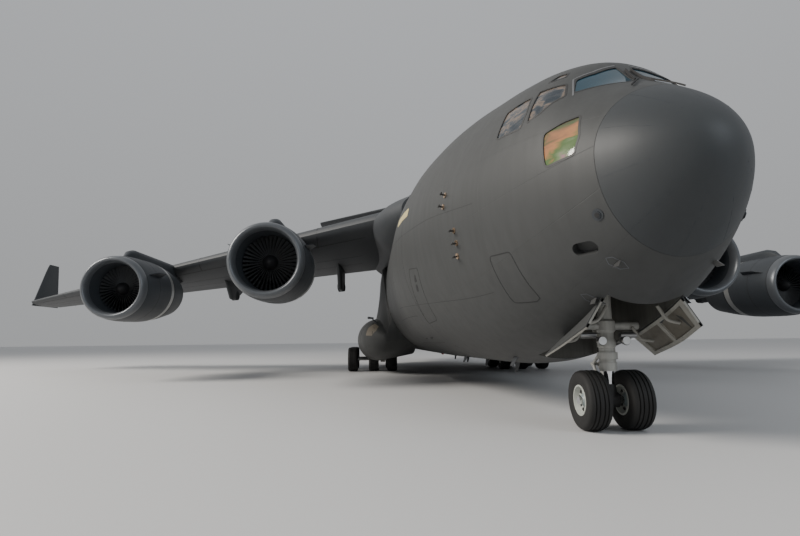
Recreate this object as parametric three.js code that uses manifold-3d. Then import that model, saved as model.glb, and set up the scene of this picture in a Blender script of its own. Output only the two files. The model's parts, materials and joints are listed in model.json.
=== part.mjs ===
// A half-scale model of a four-engine, high-wing, T-tail military transport plane, parked on its gear.
// +X points to the nose, +Y to the port side and +Z up. The origin is under the middle of the model's
// length and width, on the ground.
//
// Sizes are the full-size aircraft's, in metres, and SCALE turns them into the model's millimetres.
// A station is the distance aft of the nose's tip.

import * as THREE from "three";
import Module from "manifold-3d";
import { mergeVertices } from "three/addons/utils/BufferGeometryUtils.js";

const wasm = await Module();
wasm.setup();

const SCALE = 1000 / 2;
const LENGTH = 53.04;
const SEAT = 0.3 / SCALE; // gap between pieces that touch
const RUN = 8 / SCALE; // gap round a piece that moves

// The fuselage's sections, full size.
// station, half width, bottom, top, height of the widest line, upper and lower roundness (2 is an ellipse)
const FUSELAGE = [
  [0, 0.16, 3.76, 4.08, 3.92, 2.0, 2.0],
  [0.2, 0.51, 3.34, 4.42, 3.93, 2.0, 2.0],
  [0.6, 0.9, 2.88, 4.82, 3.96, 2.0, 2.0],
  [1.05, 1.19, 2.53, 5.15, 4.0, 1.95, 2.0],
  [1.6, 1.47, 2.21, 5.52, 4.04, 1.88, 2.0],
  [2.3, 1.77, 1.89, 6.08, 4.08, 1.8, 2.0],
  [3.0, 2.02, 1.66, 6.63, 4.13, 1.76, 2.0],
  [4.0, 2.32, 1.37, 7.2, 4.2, 1.76, 2.0],
  [5.0, 2.57, 1.18, 7.5, 4.28, 1.78, 2.0],
  [6.2, 2.84, 1.03, 7.68, 4.36, 1.83, 2.0],
  [7.6, 3.08, 0.96, 7.77, 4.38, 1.88, 2.05],
  [9.2, 3.3, 0.95, 7.8, 4.38, 1.95, 2.15],
  [11.2, 3.43, 0.95, 7.81, 4.38, 2.0, 2.3],
  [13.8, 3.43, 0.95, 7.81, 4.38, 2.0, 2.6],
  [30.2, 3.43, 0.97, 7.81, 4.38, 2.0, 2.6],
  [33.0, 3.38, 1.6, 7.81, 4.65, 2.0, 2.6],
  [36.4, 3.12, 2.75, 7.8, 5.1, 2.0, 2.5],
  [39.0, 2.72, 3.65, 7.78, 5.55, 2.0, 2.4],
  [41.8, 2.14, 4.62, 7.72, 6.05, 2.0, 2.2],
  [45.0, 1.38, 5.6, 7.58, 6.52, 2.0, 2.0],
  [47.4, 0.72, 6.25, 7.38, 6.82, 2.0, 2.0],
  [48.5, 0.2, 6.68, 7.12, 6.9, 2.0, 2.0],
];
const RING_POINTS = 24;
const WALL = 0.18;
const RADOME_AFT = 1.0;
const FORWARD_AFT = 14.0;
const CENTRE_AFT = 30.0;
const BULKHEAD = 0.1;

// The cargo hold and its ramp and door
const HOLD_FORWARD = 9.2;
const FLOOR_TOP = 1.63;
const FLOOR_DEEP = 0.22;
const RAMP_AFT = 36.35;
const CARGO_DOOR_AFT = 41.6;

// The flight deck's panes on the starboard side, each corner a station and degrees up from the horizontal
const PANES = {
  front: [[1.66, 86], [1.97, 54], [2.3, 62.5], [2.52, 86]],
  side: [[2.36, 61], [2.04, 51], [2.48, 33], [2.75, 51.5]],
  rear: [[2.88, 49], [2.62, 34.5], [2.88, 34.5], [3.11, 44.2]],
  eyebrow: [[2.68, 71], [2.84, 58.5], [2.98, 59], [2.88, 71]],
  chin: [[1.31, 35.5], [1.14, 8], [1.71, 3], [1.92, 26]],
};
const PANE_DEEP = 0.012; // how far the panes lie behind the skin
const VISOR = { from: 1.15, to: 3.5, low: 3.95, deep: 0.03 };

// The flight deck's floor, panel, seats and bulkhead
const DECK = { from: 1.5, to: 5.7, low: 3.72, high: 3.82 };
const FLIGHT_SEAT = { front: 2.85, back: 3.45, middle: 0.62, half: 0.26, cushion: 4.3, head: 5.1 };
const NOSE_BAY = { forward: 1.9, aft: 5.2, half: 0.6, top: 3.3, wall: 0.06 };

// Lifting surfaces: span, leading edge station, chord, leading edge height, trailing edge height, thickness ratio
const WING = [
  [3.3, 15.26, 10.11, 6.8, 6.0, 0.148],
  [25.15, 26.9, 2.9, 4.23, 4.08, 0.105],
];
const TAILPLANE = [
  [0.22, 44.75, 5.9, 15.62, 15.62, 0.1],
  [9.905, 50.4, 2.62, 14.86, 14.86, 0.09],
];
// The fin's table gives heights for spans, and its last heights are half widths across the centreline
const FIN = [
  [7.2, 37.0, 9.6, 0, 0, 0.115],
  [15.75, 44.5, 5.55, 0, 0, 0.11],
];

// Hinged surfaces: name, first and last span, share of the chord ahead of the hinge
const AILERON = [18.9, 24.4, 0.74];
const FLAP = [5.0, 18.55, 0.72];
const ELEVATOR = [1.0, 9.45, 0.71];
const RUDDER_LOWER = [8.35, 11.7, 0.68];
const RUDDER_UPPER = [12.0, 14.95, 0.68];
const BLADE_SPARE = 0.3; // how far a blade runs past its ends before it is cut, as a share of its length
const RUDDER_ROOM = 0.085;
const PIN_RADIUS = 0.025;
const PIN_LONG = 0.1;
const FLAP_HINGE = 0.715; // share of the chord over the flap's hinge line
const FLAP_DROP = { root: 1.13, fall: 0.034 }; // how far the hinge line hangs below the wing, less outboard
const BARREL_RADIUS = 0.27;
const BARREL_WIDE = 0.3;
const FAIRING_SPANS = [5.85, 12.3, 17.6];

// Engines: name, span, station of the intake's lip, height of its axis
const ENGINES = [
  ["outer_starboard", -14.73, 15.57, 3.87],
  ["inner_starboard", -7.73, 11.5, 4.34],
  ["inner_port", 7.73, 11.5, 4.34],
  ["outer_port", 14.73, 15.57, 3.87],
];
const ENGINE_DROOP = 0.03;
const ENGINE_SIDES = 18;
const FAN_AFT_OF_LIP = 1.0;
const FAN_RADIUS = 0.985;
const FAN_BLADES = 12;
// The nacelle's section: distance aft of the lip, radius; it runs back outside and forward inside
const NACELLE_OUTSIDE = [[0.0, 1.19], [0.12, 1.26], [0.6, 1.36], [2.2, 1.4], [4.9, 1.1]];
const NACELLE_INSIDE = [[4.9, 1.06], [2.4, 1.14], [1.1, 1.01], [0.25, 1.05], [0.04, 1.13]];
// The core: distance aft of the lip, radius
const CORE = [
  [1.55, 0], [1.55, 1.0], [1.8, 1.03], [1.8, 0.62], [2.6, 0.8], [4.2, 0.78], [5.6, 0.56], [5.6, 0.44], [6.9, 0],
];

// The undercarriage
const NOSE_GEAR = 3.3;
const NOSE_TYRE = { radius: 0.508, half: 0.203, rim: 0.255, track: 0.735 };
const MAIN_TYRE = { radius: 0.635, half: 0.262, rim: 0.3 };
const MAIN_ROWS = [22.1, 24.75];
const MAIN_WHEELS = [-0.97, 0, 1.1]; // span of the inner, middle and outer wheel from the middle one
const MAIN_MIDDLE = 4.03;
const TYRE_SIDES = 16;
const WELL = { forward: 21.25, aft: 25.6, inner: 2.55, outer: 6.2, top: 1.5 };

// The sponson: station, height and radius of its lower bulb, span of the bulb's middle, span and height of its top
const SPONSON = [
  [17.7, 1.75, 0.2, 3.45, 3.2, 2.5],
  [18.2, 1.7, 0.62, 3.55, 3.3, 3.4],
  [19.2, 1.66, 0.92, 3.7, 3.4, 4.6],
  [20.8, 1.65, 1.05, 3.8, 3.45, 5.4],
  [27.0, 1.65, 1.05, 3.8, 3.45, 5.4],
  [30.0, 1.75, 0.8, 3.65, 3.4, 4.6],
  [32.2, 2.1, 0.3, 3.3, 3.1, 3.4],
];

// Colours
const GREY = new THREE.MeshStandardMaterial({ color: 0x6a6f72, roughness: 0.55, metalness: 0.1 });
const DARK_GREY = new THREE.MeshStandardMaterial({ color: 0x4d5154, roughness: 0.6, metalness: 0.1 });
const FAN_METAL = new THREE.MeshStandardMaterial({ color: 0x3a3c3e, roughness: 0.35, metalness: 0.8 });
const LEG_WHITE = new THREE.MeshStandardMaterial({ color: 0xc9ccca, roughness: 0.45, metalness: 0.2 });
const CHROME = new THREE.MeshStandardMaterial({ color: 0xcfd2d4, roughness: 0.12, metalness: 1 });
const TYRE_RUBBER = new THREE.MeshStandardMaterial({ color: 0x17181a, roughness: 0.9, metalness: 0 });
const GLASS = new THREE.MeshStandardMaterial({ color: 0x1a2630, roughness: 0.08, metalness: 0 });
const INTERIOR = new THREE.MeshStandardMaterial({ color: 0x8a8f88, roughness: 0.7, metalness: 0.05 });

const plane = new THREE.Group();

// Places and solids

function at(station, span, height) {
  return [(LENGTH / 2 - station) * SCALE, span * SCALE, height * SCALE];
}

function solid(geometry) {
  const bare = geometry.clone();
  for (const name of Object.keys(bare.attributes)) {
    if (name !== "position") {
      bare.deleteAttribute(name);
    }
  }
  const merged = mergeVertices(bare, 1e-3);
  const mesh = new wasm.Mesh({
    numProp: 3,
    vertProperties: new Float32Array(merged.attributes.position.array),
    triVerts: new Uint32Array(merged.index.array),
  });
  return new wasm.Manifold(mesh);
}

function geometryOf(body) {
  const mesh = body.getMesh();
  const points = new Float32Array(mesh.numVert * 3);
  for (let i = 0; i < mesh.numVert; i += 1) {
    for (let k = 0; k < 3; k += 1) {
      points[3 * i + k] = mesh.vertProperties[mesh.numProp * i + k];
    }
  }
  const geometry = new THREE.BufferGeometry();
  geometry.setAttribute("position", new THREE.BufferAttribute(points, 3));
  geometry.setIndex([...mesh.triVerts]);
  return geometry;
}

function addPiece(name, body, material, parent = plane) {
  const geometry = geometryOf(body).toNonIndexed();
  geometry.computeVertexNormals();
  const mesh = new THREE.Mesh(geometry, material);
  mesh.name = name;
  parent.add(mesh);
  return mesh;
}

// A solid through rings of equally many points, closed by a fan at each end
function loft(rings) {
  const count = rings[0].length;
  const points = rings.flat(2);
  const index = [];
  for (let r = 0; r + 1 < rings.length; r += 1) {
    for (let i = 0; i < count; i += 1) {
      const j = (i + 1) % count;
      const [a, b] = [r * count + i, r * count + j];
      const [c, d] = [a + count, b + count];
      index.push(a, b, c, b, d, c);
    }
  }
  for (const r of [0, rings.length - 1]) {
    const middle = [0, 1, 2].map((k) => rings[r].reduce((sum, p) => sum + p[k], 0) / count);
    const centre = points.length / 3;
    points.push(...middle);
    for (let i = 0; i < count; i += 1) {
      const [a, b] = [r * count + i, r * count + ((i + 1) % count)];
      index.push(...(r === 0 ? [centre, b, a] : [centre, a, b]));
    }
  }
  const geometry = new THREE.BufferGeometry();
  geometry.setAttribute("position", new THREE.Float32BufferAttribute(points, 3));
  geometry.setIndex(index);
  if (volumeOf(geometry) < 0) {
    for (let i = 0; i < index.length; i += 3) {
      [index[i], index[i + 1]] = [index[i + 1], index[i]];
    }
    geometry.setIndex(index);
  }
  return solid(geometry);
}

function volumeOf(geometry) {
  const p = geometry.attributes.position;
  const corner = [0, 1, 2].map(() => new THREE.Vector3());
  let sum = 0;
  for (let i = 0; i < geometry.index.count; i += 3) {
    corner.forEach((v, k) => v.fromBufferAttribute(p, geometry.index.getX(i + k)));
    sum += corner[0].dot(corner[1].clone().cross(corner[2]));
  }
  return sum;
}

function box(station, span, height) {
  const [x1, y0, z0] = at(station[0], span[0], height[0]);
  const [x0, y1, z1] = at(station[1], span[1], height[1]);
  const geometry = new THREE.BoxGeometry(x1 - x0, y1 - y0, z1 - z0);
  geometry.translate((x0 + x1) / 2, (y0 + y1) / 2, (z0 + z1) / 2);
  return solid(geometry);
}

// A round bar between two points given in model millimetres, with a radius at each end
function bar(from, to, radiusFrom, radiusTo = radiusFrom, sides = 16) {
  const start = new THREE.Vector3(...from);
  const end = new THREE.Vector3(...to);
  const along = end.clone().sub(start);
  const geometry = new THREE.CylinderGeometry(radiusTo, radiusFrom, along.length(), sides);
  const turn = new THREE.Quaternion().setFromUnitVectors(new THREE.Vector3(0, 1, 0), along.clone().normalize());
  geometry.applyQuaternion(turn);
  geometry.translate(...start.add(end).multiplyScalar(0.5).toArray());
  return solid(geometry);
}

// A solid of revolution about the X axis; its profile lists distance along -X and radius, full size
function turned(profile, sides) {
  const outline = profile.map(([aft, radius]) => new THREE.Vector2(radius * SCALE, -aft * SCALE));
  const geometry = new THREE.LatheGeometry(outline, sides);
  geometry.rotateZ(-Math.PI / 2);
  const merged = mergeVertices(bareOf(geometry), 1e-3);
  if (volumeOf(merged) < 0) {
    const order = [...merged.index.array];
    for (let i = 0; i < order.length; i += 3) {
      [order[i], order[i + 1]] = [order[i + 1], order[i]];
    }
    merged.setIndex(order);
  }
  return solid(dropFlat(merged));
}

function bareOf(geometry) {
  const bare = geometry.clone();
  bare.deleteAttribute("normal");
  bare.deleteAttribute("uv");
  return bare;
}

// Triangles that lose a side where the profile meets the axis go
function dropFlat(geometry) {
  const order = geometry.index.array;
  const kept = [];
  for (let i = 0; i < order.length; i += 3) {
    const [a, b, c] = [order[i], order[i + 1], order[i + 2]];
    if (a !== b && b !== c && c !== a) {
      kept.push(a, b, c);
    }
  }
  geometry.setIndex(kept);
  return geometry;
}

// The largest of the bodies that a cut leaves
function largest(body) {
  return body.decompose().sort((a, b) => b.volume() - a.volume())[0];
}

function mirrored(body) {
  return body.mirror([0, 1, 0]);
}

// The fuselage

function fuselageRow(station) {
  const last = FUSELAGE.length - 1;
  const next = Math.min(Math.max(FUSELAGE.findIndex((row) => row[0] >= station), 1), last);
  const [a, b] = [FUSELAGE[next - 1], FUSELAGE[next]];
  const t = Math.min(Math.max((station - a[0]) / (b[0] - a[0]), 0), 1);
  return a.map((value, k) => value + (b[k] - value) * t);
}

// The section at a station, shrunk by an inset (or grown by a negative one)
function fuselageRing(station, inset) {
  const [, half, bottom, top, widest, upper, lower] = fuselageRow(station);
  const ring = [];
  for (let i = 0; i < RING_POINTS; i += 1) {
    const angle = (2 * Math.PI * i) / RING_POINTS;
    const [c, s] = [Math.cos(angle), Math.sin(angle)];
    const power = 2 / (s >= 0 ? upper : lower);
    const reach = s >= 0 ? top - widest - inset : widest - bottom - inset;
    const across = Math.max(half - inset, 0.02) * Math.sign(c) * Math.abs(c) ** power;
    const up = Math.max(reach, 0.02) * Math.sign(s) * Math.abs(s) ** power;
    ring.push(at(station, across, widest + up));
  }
  return ring;
}

// The whole fuselage's form, shrunk by an inset and cut to a stretch; every stretch keeps the same facets
function fuselageLoft(from, to, inset) {
  const whole = loft(FUSELAGE.map((row) => fuselageRing(row[0], inset)));
  return whole.intersect(box([from, to], [-5, 5], [0, 9]));
}

// A place on the section: degrees up from the horizontal on the starboard side
function skinPoint(station, degrees, inset) {
  const [, half, bottom, top, widest, upper, lower] = fuselageRow(station);
  const angle = THREE.MathUtils.degToRad(degrees);
  const power = 2 / (degrees >= 0 ? upper : lower);
  const reach = degrees >= 0 ? top - widest - inset : widest - bottom - inset;
  const across = (half - inset) * Math.cos(angle) ** power;
  const up = reach * Math.sign(degrees) * Math.abs(Math.sin(angle)) ** power;
  return at(station, -across, widest + up);
}

// The height of the fuselage's lower skin at a station and a span
function skinHeight(station, span) {
  const [, half, bottom, , widest, , lower] = fuselageRow(station);
  return widest - (widest - bottom) * (1 - (span / half) ** lower) ** (1 / lower);
}

// A prism through the skin behind a pane's outline, shrunk towards the outline's middle
function paneCutter(corners, outer, inner, shrink) {
  const middle = [0, 1].map((k) => corners.reduce((sum, c) => sum + c[k], 0) / corners.length);
  const moved = corners.map((c) => c.map((value, k) => middle[k] + (value - middle[k]) * shrink));
  return loft([outer, inner].map((inset) => moved.map(([station, degrees]) => skinPoint(station, degrees, inset))));
}

// Lifting surfaces

function surfaceRow(table, span) {
  const last = table.length - 1;
  const next = Math.min(Math.max(table.findIndex((row) => row[0] >= span), 1), last);
  const [a, b] = [table[next - 1], table[next]];
  const t = (span - a[0]) / (b[0] - a[0]);
  return a.map((value, k) => value + (b[k] - value) * t);
}

function halfThickness(share, ratio) {
  const x = Math.min(Math.max(share, 0), 1);
  const root = 0.2969 * Math.sqrt(x) - 0.126 * x - 0.3516 * x * x + 0.2843 * x ** 3 - 0.1036 * x ** 4;
  return 5 * ratio * root;
}

const FOIL_SHARES = [0, 0.015, 0.06, 0.15, 0.3, 0.5, 0.69, 1];
const EDGE = 0.012; // half thickness of a trailing edge

// A place on a wing-like surface: its share of the chord and its offset square to the chord
function onSurface(row, share, offset, upright) {
  const [span, lead, chord, frontHeight, rearHeight] = row;
  const station = lead + chord * share;
  if (upright) {
    return at(station, offset, span);
  }
  return at(station, span, frontHeight + (rearHeight - frontHeight) * share + offset);
}

function foilRing(row, grow, upright) {
  const [, , chord, , , ratio] = row;
  const half = (share) => Math.max(halfThickness(share, ratio) * chord, EDGE) + grow;
  const upper = FOIL_SHARES.map((share) => onSurface(row, share, share === 0 ? 0 : half(share), upright));
  const lower = FOIL_SHARES.slice(1).reverse().map((share) => onSurface(row, share, -half(share), upright));
  if (grow > 0) {
    upper[0] = onSurface(row, -grow / chord, 0, upright);
  }
  return [...upper, ...lower];
}

function surfaceLoft(table, grow = 0, upright = false) {
  const rows = table.map((row) => [...row]);
  rows[0][0] -= grow;
  rows[rows.length - 1][0] += grow;
  return loft(rows.map((row) => foilRing(row, grow, upright)));
}

// A surface's half thickness at a span and a share of its chord, straight between the table's rows like its skin
function halfAt(table, span, share) {
  const halves = table.map((row) => [row[0], Math.max(halfThickness(share, row[5]) * row[2], EDGE)]);
  return surfaceRow(halves, span)[1];
}

function hingePoint(table, span, share, upright) {
  return onSurface(surfaceRow(table, span), share, 0, upright);
}

function along(from, to, distance) {
  const start = new THREE.Vector3(...from);
  const step = new THREE.Vector3(...to).sub(start).normalize().multiplyScalar(distance * SCALE);
  return start.add(step).toArray();
}

// Everything between two planes square to a line, each a distance beyond its end of the line
function between(from, to, before, after) {
  const [start, end] = [along(from, to, -before), along(to, from, -after)].map((p) => new THREE.Vector3(...p));
  const axis = end.clone().sub(start);
  const geometry = new THREE.BoxGeometry(axis.length(), 10 * SCALE, 10 * SCALE);
  geometry.applyQuaternion(new THREE.Quaternion().setFromUnitVectors(new THREE.Vector3(1, 0, 0), axis.normalize()));
  geometry.translate(...start.add(end).multiplyScalar(0.5).toArray());
  return solid(geometry);
}

// A hinged surface without its pins. Its sections are square to its hinge line: a round nose about the hinge,
// then straight to the trailing edge. It runs on past both ends, to be cut there.
function blade(table, [first, last, share], grow, upright) {
  const point = (span, part) => new THREE.Vector3(...onSurface(surfaceRow(table, span), part, 0, upright));
  const [a, b, edgeA, edgeB] = [point(first, share), point(last, share), point(first, 1), point(last, 1)];
  const [line, edge] = [b.clone().sub(a), edgeB.clone().sub(edgeA)];
  const axis = line.clone().normalize();
  const halves = [first, last].map((span) => halfAt(table, span, share) - 0.004 + grow);
  return loft([-BLADE_SPARE, 1 + BLADE_SPARE].map((t) => {
    const middle = a.clone().addScaledVector(line, t);
    const tail = edgeA.clone().addScaledVector(edge, middle.clone().sub(edgeA).dot(axis) / edge.dot(axis));
    const aft = tail.clone().sub(middle).normalize();
    const up = axis.clone().cross(aft);
    const radius = (halves[0] + (halves[1] - halves[0]) * t) * SCALE;
    const ring = [];
    for (let i = 0; i <= 8; i += 1) {
      const angle = Math.PI / 2 + (Math.PI * i) / 8;
      const nose = middle.clone().addScaledVector(aft, Math.cos(angle) * radius);
      ring.push(nose.addScaledVector(up, Math.sin(angle) * radius).toArray());
    }
    const half = grow > 0 ? radius : EDGE * SCALE;
    tail.addScaledVector(aft, grow > 0 ? 0.2 * SCALE : 0);
    ring.push(tail.clone().addScaledVector(up, -half).toArray(), tail.clone().addScaledVector(up, half).toArray());
    return ring;
  }));
}

// A surface that turns on two end pins, and what it takes out of the surface that carries it.
// Its ends are square to the hinge, so that they stay in their planes as the surface turns. A rudder's lower end
// is level instead, with room below it for its sides, which sink as it turns.
function hinged(table, row, upright = false) {
  const [first, last, share] = row;
  const [a, b] = [hingePoint(table, first, share, upright), hingePoint(table, last, share, upright)];
  const ends = (grow, room = grow) => (upright
    ? between(a, b, 3, grow).intersect(box([30, 60], [-5, 5], [first - room, 20]))
    : between(a, b, grow, grow));
  const reach = [along(a, b, -PIN_LONG), along(b, a, -PIN_LONG)];
  const piece = blade(table, row, 0, upright).intersect(ends(0)).add(bar(...reach, PIN_RADIUS * SCALE));
  const bores = [along(a, b, -PIN_LONG - SEAT), along(b, a, -PIN_LONG - SEAT)];
  const hollow = blade(table, row, RUN, upright).intersect(ends(RUN, RUDDER_ROOM));
  return { piece, taken: hollow.add(bar(...bores, (PIN_RADIUS + SEAT * 2) * SCALE)) };
}

// Wing-to-fuselage fairing: station, half width, top, bottom, height of the widest line
const WING_FAIRING = [
  [13.0, 3.0, 7.5, 5.6, 6.5],
  [14.6, 3.78, 7.68, 5.1, 6.55],
  [16.4, 4.12, 7.84, 4.8, 6.55],
  [19.0, 4.15, 8.2, 4.8, 6.5],
  [24.0, 4.15, 8.25, 4.8, 6.4],
  [27.4, 3.6, 8.0, 5.3, 6.4],
  [30.8, 2.8, 7.6, 5.9, 6.5],
];

// The tail's bullet: station, half width, half height about its middle
const BULLET = [
  [43.5, 0.05, 0.06],
  [44.2, 0.28, 0.38],
  [45.5, 0.47, 0.68],
  [48.3, 0.5, 0.8],
  [50.4, 0.36, 0.58],
  [52.3, 0.06, 0.1],
];
const BULLET_HEIGHT = 15.99;

// Winglet: height, leading edge station, chord, span of its middle
const WINGLET = [
  [4.02, 27.15, 2.6, 25.2665],
  [6.93, 29.35, 1.05, 25.81],
];

function ovalRing(station, half, low, middle, high, power = 2, points = 16) {
  const ring = [];
  for (let i = 0; i < points; i += 1) {
    const angle = (2 * Math.PI * i) / points;
    const [c, s] = [Math.cos(angle), Math.sin(angle)];
    const across = half * Math.sign(c) * Math.abs(c) ** (2 / power);
    const up = (s >= 0 ? high - middle : middle - low) * Math.sign(s) * Math.abs(s) ** (2 / power);
    ring.push(at(station, across, middle + up));
  }
  return ring;
}

function fairingLoft(grow) {
  return loft(WING_FAIRING.map(([station, half, top, bottom, middle]) =>
    ovalRing(station, half + grow, bottom - grow, middle, top + grow, 2.1, 24)));
}

function bulletLoft(grow) {
  return loft(BULLET.map(([station, half, tall]) =>
    ovalRing(station, half + grow, BULLET_HEIGHT - tall - grow, BULLET_HEIGHT, BULLET_HEIGHT + tall + grow)));
}

// A prism whose outline lies in plan, station and half span, the same on both sides
function planPrism(outline, low, high, grow = 0) {
  const right = outline.map(([station, half]) => [station, half + grow]);
  const left = [...right].reverse().map(([station, half]) => [station, -half]);
  return loft([low, high].map((height) => [...right, ...left].map(([station, span]) => at(station, span, height))));
}

// A prism across the fuselage whose outline is seen from the side, station and height
function sidePrism(outline, half) {
  return loft([-half, half].map((span) => outline.map(([station, height]) => at(station, span, height))));
}

function fuselageShell(from, to) {
  return fuselageLoft(from, to, 0).subtract(fuselageLoft(from - 0.5, to + 0.5, WALL));
}

const bothSides = (make) => [make(-1), make(1)];
const PAD = { radius: 0.14, forward: 6.4, low: 0.9, wingSpan: 8.9, wingAft: 3.4, wingLow: 5.27 };

function addRadome() {
  addPiece("radome", fuselageLoft(0, RADOME_AFT, 0), GREY);
}

function addForwardFuselage() {
  const front = RADOME_AFT + SEAT;
  const skin = fuselageLoft(front, FORWARD_AFT, 0);
  const cabin = fuselageLoft(front + BULKHEAD, FORWARD_AFT + 0.5, WALL);
  const { forward, aft, half, top, wall } = NOSE_BAY;
  const bayBox = box([forward - wall, aft + wall], [-half - wall, half + wall], [0, top + wall]);
  const bay = bayBox.intersect(fuselageLoft(front, FORWARD_AFT, 0.01));
  const bayInside = box([forward, aft], [-half, half], [0, top]);
  let body = skin.subtract(cabin).add(bay).subtract(bayInside);
  for (const corners of Object.values(PANES)) {
    const cutter = paneCutter(corners, -0.08, WALL + 0.12, 1);
    body = body.subtract(cutter).subtract(mirrored(cutter));
  }
  body = body.subtract(crewDoorFrame(RUN)).subtract(crewDoorPins(SEAT * 2));
  const padTop = at(PAD.forward, 0, PAD.low + 0.25);
  body = body.add(bar(at(PAD.forward, 0, PAD.low), padTop, PAD.radius * SCALE));
  addPiece("fuselage_forward", body, GREY);
  addPiece("crew_door", crewDoor(), GREY);
  addGlazing();
  addFlightDeck();
}

// The crew door in the port side, which drops open about a tube along its sill
const CREW_DOOR = { from: 7.7, to: 8.6, sill: 1.98, head: 3.55, degrees: -41.5 };
const SILL_ROOM = 2.6; // the gap under the door, as a multiple of the gap round the rest of it

function crewDoorFrame(grow) {
  const { from, to, sill, head } = CREW_DOOR;
  return box([from - grow, to + grow], [1.2, 4], [sill - grow * SILL_ROOM, head + grow]);
}

function crewDoorPins(grow) {
  const { from, to } = CREW_DOOR;
  const [, span, height] = skinPoint((from + to) / 2, CREW_DOOR.degrees, 0.06);
  const ends = [from - 0.08 - grow, to + 0.08 + grow].map((station) => [at(station, 0, 0)[0], -span, height]);
  return bar(...ends, (0.03 + grow) * SCALE);
}

function crewDoor() {
  const skin = fuselageLoft(CREW_DOOR.from - 1, CREW_DOOR.to + 1, 0);
  const inside = fuselageLoft(CREW_DOOR.from - 2, CREW_DOOR.to + 2, WALL - 0.04);
  return skin.subtract(inside).intersect(crewDoorFrame(0)).add(crewDoorPins(0));
}

function addGlazing() {
  const { from, to, low, deep } = VISOR;
  const outer = fuselageLoft(from, to, WALL + SEAT);
  const inner = fuselageLoft(from - 0.3, to + 0.3, WALL + deep);
  let body = outer.subtract(inner).intersect(box([from, to], [-3, 3], [low, 8]));
  for (const corners of Object.values(PANES)) {
    const plug = paneCutter(corners, PANE_DEEP, WALL + deep, 0.93);
    body = body.add(plug).add(mirrored(plug));
  }
  addPiece("cockpit_glazing", body, GLASS);
}

function addFlightDeck() {
  const { from, to, low, high } = DECK;
  const floor = box([from, to], [-3, 3], [low, high]);
  const bulkhead = box([to - 0.08, to], [-3, 3], [low, 8]);
  const panel = box([1.75, 2.1], [-1.1, 1.1], [high, 4.95]);
  const pedestal = box([2.0, 3.0], [-0.2, 0.2], [low, 4.45]);
  let body = floor.add(panel).add(pedestal);
  const { front, back, middle, half, cushion, head } = FLIGHT_SEAT;
  for (const side of [-middle, middle]) {
    const wide = [side - half, side + half];
    body = body.add(box([front, back - 0.05], wide, [high - 0.05, cushion]));
    body = body.add(box([back - 0.15, back], wide, [cushion - 0.1, head]));
  }
  body = body.intersect(fuselageLoft(from - 0.3, 6.5, WALL + VISOR.deep + 0.02));
  const aftPart = box([VISOR.to + 0.1, to], [-3, 3], [low, high]).add(bulkhead);
  body = body.add(aftPart.intersect(fuselageLoft(VISOR.to, 6.5, WALL + SEAT)));
  addPiece("flight_deck", body, INTERIOR);
}

const RAMP_HINGE = { station: 30.06, height: 1.09, radius: 0.04, lug: 0.75, half: 0.06 };
const LUG_ROOM = 0.036; // gap round a lug, whose corners the ramp turns past

function rampLugs(grow) {
  const { station, height, lug, half } = RAMP_HINGE;
  const lugs = bothSides((side) => box(
    [CENTRE_AFT - 0.1, station + 0.07 + grow],
    [side * lug - half - grow, side * lug + half + grow],
    [height - 0.07 - grow, height + 0.07 + grow],
  ));
  return lugs[0].add(lugs[1]);
}

function rampPin(grow) {
  const { station, height, lug, half, radius } = RAMP_HINGE;
  const reach = lug + half + 0.02 + grow;
  return bar(at(station, -reach, height), at(station, reach, height), (radius + grow) * SCALE);
}

function addCentreFuselage() {
  const shell = fuselageShell(FORWARD_AFT + SEAT, CENTRE_AFT);
  const body = shell.add(rampLugs(0)).subtract(rampPin(SEAT * 2));
  addPiece("fuselage_centre", body, GREY);
  const floorBox = box([HOLD_FORWARD, CENTRE_AFT], [-3, 3], [FLOOR_TOP - FLOOR_DEEP, FLOOR_TOP]);
  const floor = floorBox.intersect(fuselageLoft(HOLD_FORWARD - 1, CENTRE_AFT, WALL + SEAT));
  addPiece("cargo_floor", floor.subtract(rampPin(SEAT * 2)), INTERIOR);
}

const RAMP_PLAN = [[RAMP_HINGE.station, 2.4], [RAMP_AFT, 2.3]];
const DOOR_PLAN = [[RAMP_AFT + 0.03, 2.3], [CARGO_DOOR_AFT, 0.8]];
const DOOR_HINGE = { station: 41.5, height: 4.72, radius: 0.035, half: 0.8 };
const TAIL_HOLLOW_AFT = 46.6;
// The ramp's rear end slants forward, which leaves the rising door's edge its room
const RAMP_LIP = { slant: 0.25, top: 3.05, low: 2.7 };
// The cargo door's rear face slants forward above its hinge, since it swings aft there
const DOOR_SLANT = { rise: 0.6, run: 0.4 };

function cargoDoorPins(grow) {
  const { station, height, radius, half } = DOOR_HINGE;
  const reach = half + 0.12 + grow;
  return bar(at(station, -reach, height), at(station, reach, height), (radius + grow) * SCALE);
}

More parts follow.
